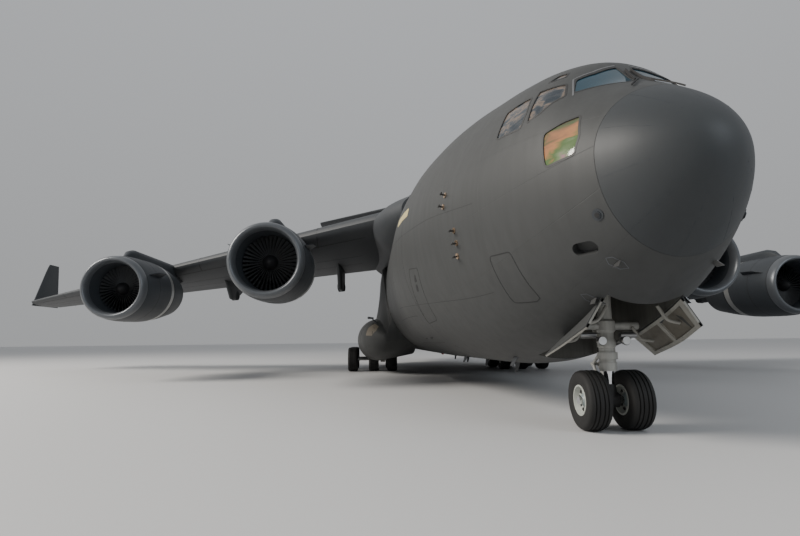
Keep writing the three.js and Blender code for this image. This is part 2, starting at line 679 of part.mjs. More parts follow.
function addAftFuselage() {
  const front = CENTRE_AFT + SEAT;
  const skin = fuselageLoft(front, 48.5, 0);
  const hold = fuselageLoft(front - 0.5, TAIL_HOLLOW_AFT, WALL);
  const plan = [[CENTRE_AFT - 0.5, 2.4], [RAMP_AFT, 2.3], [CARGO_DOOR_AFT + RUN, 0.8]];
  const opening = planPrism(plan, 0, 5.3, RUN);
  let body = skin.subtract(hold).subtract(opening).subtract(cargoDoorPins(SEAT * 2));
  addPiece("fuselage_aft", body, GREY);
  const { station } = RAMP_HINGE;
  const lip = [[RAMP_AFT - RAMP_LIP.slant, RAMP_LIP.top], [RAMP_AFT, RAMP_LIP.low], [RAMP_AFT, 0]];
  const rampSide = [[station, 0], [station, FLOOR_TOP], ...lip];
  const ramp = fuselageLoft(CENTRE_AFT, RAMP_AFT + 1, 0).intersect(sidePrism(rampSide, 3))
    .intersect(planPrism(RAMP_PLAN, 0, 6)).subtract(rampLugs(LUG_ROOM)).add(rampPin(0));
  addPiece("cargo_ramp", ramp, GREY);
  const panel = fuselageLoft(RAMP_AFT, 45, 0).subtract(fuselageLoft(RAMP_AFT - 1, 46, 0.22));
  const { height } = DOOR_HINGE;
  const top = height + DOOR_SLANT.rise;
  const slant = [[CARGO_DOOR_AFT, 0], [CARGO_DOOR_AFT, height], [CARGO_DOOR_AFT - DOOR_SLANT.run, top]];
  const doorSide = sidePrism([...slant, [RAMP_AFT, top], [RAMP_AFT, 0]], 3);
  const door = panel.intersect(planPrism(DOOR_PLAN, 0, top + 1)).intersect(doorSide).add(cargoDoorPins(0));
  addPiece("cargo_door", door, GREY);
}

const SPONSON_INNER = 2.1;

// The bulb's arc from under its middle round to its upper side, a crease, then straight up to the top
function sponsonRing([station, height, radius, middle, topSpan, topHeight]) {
  const ring = [at(station, SPONSON_INNER, height - radius * 0.7)];
  for (let i = 0; i <= 10; i += 1) {
    const angle = THREE.MathUtils.degToRad(-100 + i * 18);
    ring.push(at(station, middle + radius * Math.cos(angle), height + radius * Math.sin(angle)));
  }
  const crease = at(station, Math.min(topSpan + 0.45, middle + radius * 0.1), height + radius * 1.02);
  const [shoulder, top] = [at(station, topSpan + 0.12, topHeight - 0.15), at(station, topSpan, topHeight)];
  ring.push(crease, shoulder, top, at(station, SPONSON_INNER, topHeight));
  return ring;
}

function addSponsons() {
  const well = box([WELL.forward, WELL.aft], [WELL.inner, WELL.outer], [-1, WELL.top]);
  const underRamp = box([CENTRE_AFT - 0.1, CENTRE_AFT + 4], [0, RAMP_PLAN[0][1] + RUN], [-1, 8]);
  const pod = loft(SPONSON.map(sponsonRing)).subtract(well).subtract(underRamp);
  for (const [name, body] of [["port", pod], ["starboard", mirrored(pod)]]) {
    addPiece(`sponson_${name}`, body.subtract(fuselageLoft(15, 35, -SEAT)).subtract(fairingLoft(SEAT)), GREY);
  }
}

// The wing, with its flap and aileron. The flap turns about a line under the wing, on barrels in fairings

function flapHinge(span) {
  const drop = FLAP_DROP.root - FLAP_DROP.fall * span;
  return onSurface(surfaceRow(WING, span), FLAP_HINGE, -halfAt(WING, span, FLAP_HINGE) - drop, false);
}

// The flap without its fairings; both its ends are square to its hinge line
function flapPanel(grow) {
  const [first, last] = FLAP;
  return blade(WING, FLAP, grow, false).intersect(between(flapHinge(first), flapHinge(last), grow, grow));
}

function flapBody() {
  let body = flapPanel(0);
  for (const span of FAIRING_SPANS) {
    body = body.add(flapFairing(span)).add(barrel(span, BARREL_RADIUS, BARREL_WIDE));
  }
  return body;
}

function barrel(span, radius, wide) {
  const [middle, next] = [flapHinge(span), flapHinge(span + 1)];
  const ends = [along(middle, next, -wide / 2), along(middle, next, wide / 2)];
  return bar(...ends, radius * SCALE, radius * SCALE, 36);
}

// The moving half of a flap fairing, from its barrel to a point behind the trailing edge
function flapFairing(span) {
  const row = surfaceRow(WING, span);
  const [, lead, chord] = row;
  const centre = flapHinge(span)[2] / SCALE;
  const start = lead + chord * FLAP_HINGE;
  const end = lead + chord * 1.07;
  const under = row[4] - 0.05;
  const skin = lowerSkin(span, FLAP_HINGE + 0.01) + 0.02;
  return squareLoft(span, [
    [start + 0.06, BARREL_WIDE / 2 - 0.01, centre - BARREL_RADIUS + 0.05, skin],
    [start + (end - start) * 0.45, 0.13, centre + (skin - centre) * 0.25, (skin + under) / 2 + 0.02],
    [end, 0.03, under - 0.06, under],
  ]);
}

// The height of the wing's lower skin at a span and a share of the chord
function lowerSkin(span, share) {
  return onSurface(surfaceRow(WING, span), share, -halfAt(WING, span, share), false)[2] / SCALE;
}

// A loft of upright rectangles about a span: station, half width, bottom and top
function squareLoft(span, rows) {
  return loft(rows.map(([station, half, low, high]) => [
    at(station, span - half, low),
    at(station, span + half, low),
    at(station, span + half, high),
    at(station, span - half, high),
  ]));
}

// The fixed half's sections: share of the chord, half width, drop below the wing
const FIXED_FAIRING = [
  [0.4, 0.02, 0.02],
  [0.5, 0.12, 0.4],
];
const FIXED_FULL = 0.6; // share of the chord from which it is as deep as the barrel

// The fixed half hangs under the wing ahead of the barrel
function fixedFairing(span) {
  const row = surfaceRow(WING, span);
  const [, lead, chord] = row;
  const centre = flapHinge(span)[2] / SCALE;
  const wide = BARREL_WIDE / 2 - 0.007;
  const rows = FIXED_FAIRING.map(([share, half, drop]) =>
    [lead + chord * share, half, lowerSkin(span, share) - drop, lowerSkin(span, share) + 0.12]);
  rows.push([lead + chord * FIXED_FULL, wide, centre - BARREL_RADIUS, lowerSkin(span, FIXED_FULL) + 0.12]);
  rows.push([lead + chord * FLAP_HINGE, wide, centre - BARREL_RADIUS + 0.01, lowerSkin(span, FLAP_HINGE) + 0.02]);
  return squareLoft(span, rows);
}

function winglet() {
  return loft(WINGLET.map(([height, lead, chord, middle]) => {
    const half = (share) => Math.max(halfThickness(share, 0.09) * chord, 0.015);
    const place = (share, offset) => at(lead + chord * share, middle + offset, height);
    const outer = FOIL_SHARES.map((share) => place(share, share === 0 ? 0 : half(share)));
    const inner = FOIL_SHARES.slice(1).reverse().map((share) => place(share, -half(share)));
    return [...outer, ...inner];
  }));
}

function addWings() {
  const aileron = hinged(WING, AILERON);
  let wing = surfaceLoft(WING);
  for (const span of FAIRING_SPANS) {
    wing = wing.add(fixedFairing(span));
  }
  for (const span of FAIRING_SPANS) {
    wing = wing.subtract(barrel(span, BARREL_RADIUS + 0.0017, BARREL_WIDE + 0.2));
  }
  wing = wing.subtract(flapPanel(RUN)).subtract(aileron.taken);
  const padAt = at(surfaceRow(WING, PAD.wingSpan)[1] + PAD.wingAft, PAD.wingSpan, PAD.wingLow);
  wing = wing.add(bar(padAt, [padAt[0], padAt[1], padAt[2] + 0.35 * SCALE], PAD.radius * SCALE));
  const pieces = { wing: largest(wing), aileron: aileron.piece, flap: flapBody(), winglet: winglet() };
  for (const [name, body] of Object.entries(pieces)) {
    addPiece(`${name}_port`, body, GREY);
    addPiece(`${name}_starboard`, mirrored(body), GREY);
  }
  const grown = surfaceLoft(WING, SEAT);
  const fairing = fairingLoft(0).subtract(fuselageLoft(10, 35, -SEAT)).subtract(grown).subtract(mirrored(grown));
  addPiece("wing_fairing", fairing, GREY);
}

function addTail() {
  const tailplaneGrown = surfaceLoft(TAILPLANE, SEAT);
  const lower = hinged(FIN, RUDDER_LOWER, true);
  const upper = hinged(FIN, RUDDER_UPPER, true);
  const fin = surfaceLoft(FIN, 0, true).subtract(fuselageLoft(30, 48.5, -SEAT)).subtract(bulletLoft(SEAT))
    .subtract(lower.taken).subtract(upper.taken).subtract(tailplaneGrown).subtract(mirrored(tailplaneGrown));
  addPiece("fin", fin, GREY);
  addPiece("rudder_lower", lower.piece, GREY);
  addPiece("rudder_upper", upper.piece, GREY);
  addPiece("tail_bullet", bulletLoft(0), GREY);
  const elevator = hinged(TAILPLANE, ELEVATOR);
  const half = surfaceLoft(TAILPLANE).subtract(bulletLoft(SEAT)).subtract(elevator.taken);
  addPiece("tailplane_port", half, GREY);
  addPiece("tailplane_starboard", mirrored(half), GREY);
  addPiece("elevator_port", elevator.piece, GREY);
  addPiece("elevator_starboard", mirrored(elevator.piece), GREY);
}

// The engines, each in a group whose X axis points forward along the engine from its lip

function nacelleBody() {
  return turned([...NACELLE_OUTSIDE, ...NACELLE_INSIDE, NACELLE_OUTSIDE[0]], ENGINE_SIDES);
}

// The nacelle's outline without its hollow, grown, to cut the pylon by
function nacelleForm(grow) {
  const outside = NACELLE_OUTSIDE.map(([aft, radius]) => [aft, radius + grow]);
  const [[, lip], [end, tail]] = [outside[0], outside.at(-1)];
  const profile = [[-grow, 0], [-grow, lip], ...outside.slice(1, -1), [end + grow, tail], [end + grow, 0]];
  return turned(profile, ENGINE_SIDES);
}

function insideRadius(aft) {
  const rows = [...NACELLE_INSIDE].reverse();
  const next = Math.max(rows.findIndex((row) => row[0] >= aft), 1);
  const [a, b] = [rows[next - 1], rows[next]];
  return a[1] + ((b[1] - a[1]) * (aft - a[0])) / (b[0] - a[0]);
}

const SHAFT = { radius: 0.06, end: 1.62 };
const BLADE = { root: 0.25, half: 0.152, thick: 0.0112, lean: 45 };

function coreBody() {
  const [tip, front, rear, ...rest] = CORE;
  const seated = [front, rear].map(([aft]) => [aft, insideRadius(aft) - SEAT]);
  const profile = [tip, ...seated, ...rest];
  const bore = bar([-1.5 * SCALE, 0, 0], [(-SHAFT.end - SEAT) * SCALE, 0, 0], (SHAFT.radius + SEAT * 3) * SCALE);
  return turned(profile, ENGINE_SIDES).subtract(bore);
}

function fanBody() {
  const hub = turned([[0.5, 0], [0.6, 0.15], [0.85, 0.31], [1.15, 0.35], [1.15, 0]], 12);
  let fan = hub.add(bar([-1.1 * SCALE, 0, 0], [-SHAFT.end * SCALE, 0, 0], SHAFT.radius * SCALE));
  const { root, half, thick } = BLADE;
  const lean = THREE.MathUtils.degToRad(BLADE.lean);
  const corners = [[-half, -thick], [half, -thick], [half, thick], [-half, thick]];
  const rings = [root, FAN_RADIUS].map((radius) => corners.map(([chordwise, across]) => {
    const aft = FAN_AFT_OF_LIP + chordwise * Math.sin(lean) + across * Math.cos(lean);
    const side = chordwise * Math.cos(lean) - across * Math.sin(lean);
    return [-aft * SCALE, side * SCALE, Math.sqrt(radius ** 2 - side ** 2) * SCALE];
  }));
  const blade = loft(rings);
  for (let i = 0; i < FAN_BLADES; i += 1) {
    fan = fan.add(blade.rotate([(360 * i) / FAN_BLADES, 0, 0]));
  }
  return fan;
}

// The pylon's sections: share of the way from the lip to the wing's leading edge, half width, rise and fall
const PYLON = [
  [0.15, 0.05, 0.15, 1.0],
  [0.32, 0.19, 0.6, 1.0],
  [0.65, 0.26, 1.0, 0.9],
  [1.0, 0.26, 1.28, 0.8],
  [1.4, 0.22, 1.15, 1.3],
  [1.75, 0.07, 0.85, 1.75],
];
const NACELLE_TOP = 1.34;

function pylonBody(span, lip, axis) {
  const [, lead, , frontHeight] = surfaceRow(WING, Math.abs(span));
  const rise = frontHeight - axis - NACELLE_TOP;
  return loft(PYLON.map(([share, half, up, low]) => {
    const station = lip + (lead - lip) * share;
    const high = axis + NACELLE_TOP + rise * up;
    const floor = Math.min(axis + low, high - 0.1);
    const [shoulder, crest] = [high - half * 0.8, half * 0.45];
    return [
      at(station, span - half, floor),
      at(station, span + half, floor),
      at(station, span + half, shoulder),
      at(station, span + crest, high),
      at(station, span - crest, high),
      at(station, span - half, shoulder),
    ];
  }));
}

function addEngines() {
  const pieces = { nacelle: [nacelleBody(), GREY], fan: [fanBody(), FAN_METAL], core: [coreBody(), DARK_GREY] };
  const grownWing = surfaceLoft(WING, SEAT);
  for (const [name, span, lip, axis] of ENGINES) {
    const group = new THREE.Group();
    group.position.set(...at(lip, span, axis));
    group.rotation.y = ENGINE_DROOP;
    plane.add(group);
    group.updateMatrixWorld(true);
    for (const [piece, [body, material]] of Object.entries(pieces)) {
      addPiece(`${piece}_${name}`, body, material, group);
    }
    const nacelle = nacelleForm(SEAT * 2).transform([...group.matrixWorld.elements]);
    const wing = span > 0 ? grownWing : mirrored(grownWing);
    const pylon = largest(pylonBody(span, lip, axis).subtract(nacelle).subtract(wing));
    addPiece(`pylon_${name}`, pylon, GREY);
  }
}

// The undercarriage

// A tyre with its wheel, on a flat of its tread
function tyre(middle, { radius, half, rim }) {
  const tread = radius / Math.cos(Math.PI / TYRE_SIDES);
  const shoulder = tread - 0.09;
  const profile = [
    [-half * 0.92, rim], [-half, shoulder], [-half * 0.6, tread], [half * 0.6, tread], [half, shoulder],
    [half * 0.92, rim], [half * 0.5, 0], [-half * 0.5, 0], [-half * 0.92, rim],
  ];
  const body = turned(profile, TYRE_SIDES).rotate([180 / TYRE_SIDES, 0, 0]).rotate([0, 0, 90]);
  return body.translate([0, middle * SCALE, 0]);
}

const AXLE = 0.065;

function addMainGear(side, name) {
  const spans = MAIN_WHEELS.map((offset) => offset * side);
  MAIN_ROWS.forEach((station, row) => {
    const label = `${row === 0 ? "forward" : "rear"}_${name}`;
    const group = new THREE.Group();
    group.position.set(...at(station, side * MAIN_MIDDLE, MAIN_TYRE.radius));
    plane.add(group);
    const reach = [Math.min(...spans) - 0.2, Math.max(...spans) + 0.2];
    let wheels = bar([0, reach[0] * SCALE, 0], [0, reach[1] * SCALE, 0], AXLE * SCALE, undefined, 8);
    for (const span of spans) {
      wheels = wheels.add(tyre(span, MAIN_TYRE));
    }
    addPiece(`main_wheels_${label}`, wheels, TYRE_RUBBER, group);
    addPiece(`main_leg_${label}`, mainLeg(side), LEG_WHITE, group);
  });
}

// The leg stands between the inner and the middle wheel, in the well's roof, with the axle through its foot
function mainLeg(side) {
  const span = side * MAIN_WHEELS[0] * 0.5;
  const top = WELL.top - MAIN_TYRE.radius - SEAT;
  const post = bar([0, span * SCALE, -0.03 * SCALE], [0, span * SCALE, top * SCALE], 0.15 * SCALE);
  const foot = bar([0, (span - 0.12) * SCALE, 0], [0, (span + 0.12) * SCALE, 0], 0.16 * SCALE);
  const bore = bar([0, (span - 0.3) * SCALE, 0], [0, (span + 0.3) * SCALE, 0], (AXLE + SEAT * 3) * SCALE);
  return post.add(foot).subtract(bore);
}

// The nose leg: its cylinder's radius and bottom, its piston's radius and top, the bottom of the piston's socket
const NOSE_LEG = { radius: 0.16, low: 1.12, piston: 0.09, top: 1.6, socket: 0.9 };
// The nose gear doors, which hang outward from the bay's sides: station, span and height of the outer edge
const GEAR_DOOR = [
  [2.0, 0.92, 1.74],
  [2.7, 1.0, 1.5],
  [3.55, 1.03, 1.28],
];
const GEAR_DOOR_HINGE = 0.61; // span of the edge at the bay
const GEAR_DOOR_THICK = 0.045;

function addNoseGear() {
  const group = new THREE.Group();
  group.position.set(...at(NOSE_GEAR, 0, NOSE_TYRE.radius));
  plane.add(group);
  const up = (height) => (height - NOSE_TYRE.radius) * SCALE;
  const cylinder = bar([0, 0, up(NOSE_LEG.low)], [0, 0, up(NOSE_BAY.top - SEAT)], NOSE_LEG.radius * SCALE);
  const { piston: thin, top, socket: low } = NOSE_LEG;
  const socket = bar([0, 0, up(low)], [0, 0, up(top) + 2], (thin + SEAT * 2) * SCALE, undefined, 24);
  addPiece("nose_leg", cylinder.subtract(socket), LEG_WHITE, group);
  const piston = bar([0, 0, 0], [0, 0, up(top)], thin * SCALE, undefined, 24);
  const foot = bar([0, -0.11 * SCALE, 0], [0, 0.11 * SCALE, 0], 0.14 * SCALE);
  const bore = bar([0, -0.3 * SCALE, 0], [0, 0.3 * SCALE, 0], (AXLE + SEAT * 3) * SCALE);
  addPiece("nose_steering", piston.add(foot).subtract(bore), CHROME, group);
  let wheels = bar([0, -0.45 * SCALE, 0], [0, 0.45 * SCALE, 0], AXLE * SCALE, undefined, 8);
  for (const side of [-1, 1]) {
    wheels = wheels.add(tyre((side * NOSE_TYRE.track) / 2, NOSE_TYRE));
  }
  addPiece("nose_wheels", wheels, TYRE_RUBBER, group);
  const { forward, aft, half } = NOSE_BAY;
  const bay = box([forward, aft], [-half, half], [0, NOSE_BAY.top]);
  bothSides((side) => {
    const plate = loft(GEAR_DOOR.map(([station, outer, low]) => {
      const high = skinHeight(station, GEAR_DOOR_HINGE) + 0.06;
      const slope = Math.atan2(high - low, outer - GEAR_DOOR_HINGE);
      const [x, z] = [GEAR_DOOR_THICK * Math.sin(slope), GEAR_DOOR_THICK * Math.cos(slope)];
      const corners = [[GEAR_DOOR_HINGE, high], [outer, low], [outer - x, low - z], [GEAR_DOOR_HINGE - x, high - z]];
      return corners.map(([span, height]) => at(station, side * span, height));
    }));
    const name = side < 0 ? "starboard" : "port";
    addPiece(`nose_gear_door_${name}`, largest(plate.subtract(fuselageLoft(1, 7, -SEAT)).subtract(bay)), GREY);
  });
}

addRadome();
addForwardFuselage();
addCentreFuselage();
addAftFuselage();
addSponsons();
addWings();
addTail();
addEngines();
addMainGear(1, "port");
addMainGear(-1, "starboard");
addNoseGear();

export default plane;
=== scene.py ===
# %% [markdown]
# # A half-scale military transport plane
#
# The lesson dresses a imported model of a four-engine, high-wing transport plane that stands on its gear. The
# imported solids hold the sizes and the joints. Here each of them gets a smooth skin, its small parts and its
# finish. Sizes in the tables are the full-size aircraft's, in metres, and `HALF` turns them into the
# model's.

# %% The frame and its box
import json
import math

import bmesh
import bpy
import numpy as np
from mathutils import Matrix, Vector

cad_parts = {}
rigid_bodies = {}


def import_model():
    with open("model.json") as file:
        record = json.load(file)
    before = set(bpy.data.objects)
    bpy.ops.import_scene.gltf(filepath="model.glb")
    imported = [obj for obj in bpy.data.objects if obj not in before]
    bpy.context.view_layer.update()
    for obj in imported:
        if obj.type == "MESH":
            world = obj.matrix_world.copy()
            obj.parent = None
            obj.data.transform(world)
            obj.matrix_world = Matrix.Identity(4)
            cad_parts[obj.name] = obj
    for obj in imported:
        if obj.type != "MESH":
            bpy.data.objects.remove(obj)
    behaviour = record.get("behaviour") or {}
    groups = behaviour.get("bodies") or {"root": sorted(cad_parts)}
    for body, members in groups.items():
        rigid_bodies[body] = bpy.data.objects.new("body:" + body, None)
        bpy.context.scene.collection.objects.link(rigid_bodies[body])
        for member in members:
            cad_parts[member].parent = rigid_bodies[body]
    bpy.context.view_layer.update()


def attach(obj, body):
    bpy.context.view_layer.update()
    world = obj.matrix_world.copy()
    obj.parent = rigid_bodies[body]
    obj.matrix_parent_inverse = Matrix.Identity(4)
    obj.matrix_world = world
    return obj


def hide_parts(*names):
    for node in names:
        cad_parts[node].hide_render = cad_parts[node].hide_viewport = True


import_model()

# %% [markdown]
# ## Places
#
# A designer of an aircraft names places by station, which is the distance aft of the nose's tip. Plain X, Y
# and Z would do, but station, span (port is positive) and height above the ground can be held against a
# drawing.

# %% Stations, spans and heights
HALF = 0.5
LENGTH = 53.04
SIDES = {"port": 1, "starboard": -1}


def at(station, span, height):
    """A place in the model's metres."""
    return np.array([(LENGTH / 2 - station) * HALF, span * HALF, height * HALF])


def monotone(key, columns, wanted):
    """Values between a table's rows on smooth curves that don't overshoot them."""
    key, columns, wanted = (np.asarray(a, float) for a in (key, columns, wanted))
    step = np.diff(key)[:, None]
    rise = np.diff(columns, axis=0) / step
    slope = np.zeros_like(columns)
    same = rise[:-1] * rise[1:] > 0
    first = 2 * step[1:] + step[:-1]
    second = step[1:] + 2 * step[:-1]
    with np.errstate(divide="ignore", invalid="ignore"):
        mean = (first + second) / (first / rise[:-1] + second / rise[1:])
    slope[1:-1] = np.where(same, mean, 0)
    slope[0], slope[-1] = rise[0], rise[-1]
    i = np.clip(np.searchsorted(key, wanted) - 1, 0, len(key) - 2)
    h = step[i]
    t = ((wanted - key[i])[:, None] / h).clip(0, 1)
    blend = [(1 + 2 * t) * (1 - t) ** 2, t * (1 - t) ** 2 * h, t * t * (3 - 2 * t), t * t * (t - 1) * h]
    return blend[0] * columns[i] + blend[1] * slope[i] + blend[2] * columns[i + 1] + blend[3] * slope[i + 1]


print("nose tip", at(0, 0, 0), "tail", at(LENGTH, 0, 0))

# %% [markdown]
# ## Shapes as points and faces
#
# A mesh is a list of points and a list of faces. Small functions make such pairs: a tube through rings, a
# turned part, a pipe along a path, a box. Pairs are easy to move, mirror and join, and only `piece` makes a
# Blender object of them, gives it a finish and fixes it to a body of the frame.


# %% Tubes, turned parts and pipes
def tube(rings, ends=True, loop=False):
    """A skin through rings of equally many points. Ends are closed by one face each."""
    rings = np.asarray(rings, float)
    n, m = rings.shape[:2]
    points = rings.reshape(-1, 3)
    faces = []
    for r in range(n if loop else n - 1):
        a, b = r * m, ((r + 1) % n) * m
        faces += [(a + i, a + (i + 1) % m, b + (i + 1) % m, b + i) for i in range(m)]
    if ends and not loop:
        faces.append(tuple(range(m))[::-1])
        faces.append(tuple(range((n - 1) * m, n * m)))
    return points, faces


def turned(profile, sides=48, closed=False):
    """A part turned about the X axis from (distance aft, radius) corners."""
    angles = 2 * np.pi * np.arange(sides) / sides
    rings = [[(-aft, r * math.cos(a), r * math.sin(a)) for a in angles] for aft, r in profile]
    return tube(rings, ends=not closed, loop=closed)


def pipe(path, radius, sides=10):
    """A round bar along a path of points."""
    path = np.asarray(path, float)
    radius = np.broadcast_to(radius, len(path))
    way = np.gradient(path, axis=0)
    way /= np.linalg.norm(way, axis=1)[:, None]
    side = np.cross(way[0], [0.3, 0.5, 0.81])
    rings = []
    for p, w, r in zip(path, way, radius):
        side = side - w * (side @ w)
        side /= np.linalg.norm(side)
        up = np.cross(w, side)
        turn = 2 * np.pi * np.arange(sides) / sides
        rings.append(p + r * (np.outer(np.cos(turn), side) + np.outer(np.sin(turn), up)))
    return tube(rings)


print("points of a turned disc", len(turned([(0, 0.1), (0.1, 0.1)])[0]))


# %% Boxes, and shapes moved, mirrored and joined
def box(low, high):
    """A box between two opposite corners."""
    corners = np.array([[x, y, z] for x in (0, 1) for y in (0, 1) for z in (0, 1)], float)
    points = np.asarray(low) + corners * (np.asarray(high) - np.asarray(low))
    faces = [(0, 1, 3, 2), (4, 6, 7, 5), (0, 4, 5, 1), (2, 3, 7, 6), (0, 2, 6, 4), (1, 5, 7, 3)]
    return points, faces


def placed_box(stations, spans, heights):
    """A box between stations, spans and heights, full size."""
    a, b = at(stations[1], spans[0], heights[0]), at(stations[0], spans[1], heights[1])
    return box(a, b)


def moved(shape, matrix):
    points, faces = shape
    rows = np.array(matrix)
    return points @ rows[:3, :3].T + rows[:3, 3], faces


def mirrored(shape):
    """The same shape on the other side of the centreline."""
    points, faces = shape
    return points * [1, -1, 1], [tuple(f[::-1]) for f in faces]


def joined(shapes):
    points, faces, start = [], [], 0
    for p, f in shapes:
        points.append(np.asarray(p))
        faces += [tuple(i + start for i in face) for face in f]
        start += len(p)
    return np.concatenate(points), faces


def on_side(side, shape):
    return shape if side == "port" else mirrored(shape)


def smooth_path(corners, steps=8):
    """Points along a smooth curve through a few corners."""
    corners = np.asarray(corners, float)
    far = np.concatenate([[0], np.cumsum(np.linalg.norm(np.diff(corners, axis=0), axis=1))])
    return monotone(far, corners, np.linspace(0, far[-1], steps * (len(corners) - 1) + 1))


print("corners of a box", len(box((0, 0, 0), (1, 1, 1))[0]))

# %% [markdown]
# ## From a shape to a finished piece
#
# Faces that meet at a shallow angle look smooth, and the others get a sharp edge. A cut is made with a
# Boolean modifier that is applied at once, so that the piece ends as a plain mesh with its object at the
# origin.

# %% Pieces, cuts and bevels
scene = bpy.context.scene
SHARP = math.radians(32)


def mesh_object(name, shape):
    points, faces = shape
    mesh = bpy.data.meshes.new(name)
    mesh.from_pydata([tuple(p) for p in points], [], faces)
    bm = bmesh.new()
    bm.from_mesh(mesh)
    bmesh.ops.remove_doubles(bm, verts=bm.verts, dist=1e-5)
    bmesh.ops.recalc_face_normals(bm, faces=bm.faces)
    bm.to_mesh(mesh)
    bm.free()
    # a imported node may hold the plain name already
    thing = bpy.data.objects.new(f"{name}_skin" if name in bpy.data.objects else name, mesh)
    scene.collection.objects.link(thing)
    return thing


def apply_modifiers(thing):
    """Turns the object with its modifiers into a plain mesh."""
    graph = bpy.context.evaluated_depsgraph_get()
    mesh = bpy.data.meshes.new_from_object(thing.evaluated_get(graph))
    thing.modifiers.clear()
    old, thing.data = thing.data, mesh
    bpy.data.meshes.remove(old)
    return thing


def cut(thing, shape, operation="DIFFERENCE"):
    """Cuts a shape out of an object, or keeps only what is inside it."""
    cutter = mesh_object("cutter", shape)
    modifier = thing.modifiers.new("cut", "BOOLEAN")
    modifier.object = cutter
    modifier.operation = operation
    modifier.solver = "MANIFOLD"
    apply_modifiers(thing)
    bpy.data.objects.remove(cutter)
    return thing


def finish(thing, material, body="airframe", replaces=(), slot=None, sharp=SHARP, bevel=0):
    """Smooths a piece, gives it its finish and lets it ride on its body."""
    if bevel:
        modifier = thing.modifiers.new("bevel", "BEVEL")
        modifier.width = bevel
        modifier.segments = 2
        modifier.limit_method = "ANGLE"
        modifier.angle_limit = math.radians(40)
        apply_modifiers(thing)
    mesh = thing.data
    mesh.polygons.foreach_set("use_smooth", [True] * len(mesh.polygons))
    mesh.set_sharp_from_angle(angle=sharp)
    mesh.materials.clear()
    mesh.materials.append(material)
    if replaces:
        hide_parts(*replaces)
    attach(thing, body)
    return thing


def piece(name, shapes, material, body="airframe", **how):
    """One object from one shape or several."""
    shape = joined(shapes) if isinstance(shapes, list) else shapes
    return finish(mesh_object(name, shape), material, body, **how)


counted = {thing.name for thing in scene.objects}


def tell(what):
    """Prints how many pieces a cell made, and their faces."""
    new = [thing for thing in scene.objects if thing.type == "MESH" and thing.name not in counted]
    counted.update(thing.name for thing in new)
    print(f"{what}: {len(new)} pieces, {sum(len(thing.data.polygons) for thing in new)} faces")


print("objects in the frame", len(counted))

# %% [markdown]
# ## Finishes
#
# Real paint on a transport plane is matt, patched and streaked by rain, and thin dark lines show where its
# panels meet. Two shader groups make this for every painted piece. One mottles and streaks a colour. The
# other draws a grid of seams from object coordinates, with each panel in a slightly different tone.


# %% Node helpers
def add_node(tree, kind, values=None, **settings):
    """A node with its settings, and values or links for its inputs by name or number."""
    node = tree.nodes.new(kind)
    for name, value in settings.items():
        setattr(node, name, value)
    for key, value in (values or {}).items():
        if isinstance(value, bpy.types.NodeSocket):
            tree.links.new(value, node.inputs[key])
        else:
            node.inputs[key].default_value = value
    return node


def new_group(name, inputs, outputs):
    """A shader group with named float, colour or vector sockets."""
    tree = bpy.data.node_groups.new(name, "ShaderNodeTree")
    kinds = {"f": "NodeSocketFloat", "c": "NodeSocketColor", "v": "NodeSocketVector"}
    for label, (kind, value) in inputs.items():
        socket = tree.interface.new_socket(label, in_out="INPUT", socket_type=kinds[kind])
        socket.default_value = value
    for label, kind in outputs.items():
        tree.interface.new_socket(label, in_out="OUTPUT", socket_type=kinds[kind])
    return tree, tree.nodes.new("NodeGroupInput").outputs, tree.nodes.new("NodeGroupOutput").inputs


def maths(tree, operation, a, b=0.0, c=0.0, clamp=False):
    return add_node(tree, "ShaderNodeMath", {0: a, 1: b, 2: c}, operation=operation,
                    use_clamp=clamp).outputs[0]


def mix_colour(tree, share, a, b, blend="MIX"):
    node = add_node(tree, "ShaderNodeMix", data_type="RGBA", blend_type=blend)
    for key, value in ((0, share), (6, a), (7, b)):
        if isinstance(value, bpy.types.NodeSocket):
            tree.links.new(value, node.inputs[key])
        else:
            node.inputs[key].default_value = value
    return node.outputs[2]


def grey(value, alpha=1):
    return (value, value, value, alpha)


print("middle grey", grey(0.2))

# %% [markdown]
# ## Weathering
#
# Paint outdoors is mottled, and rain draws streaks down it. An image would need a flat map of every piece,
# but noise on object coordinates fits any shape.


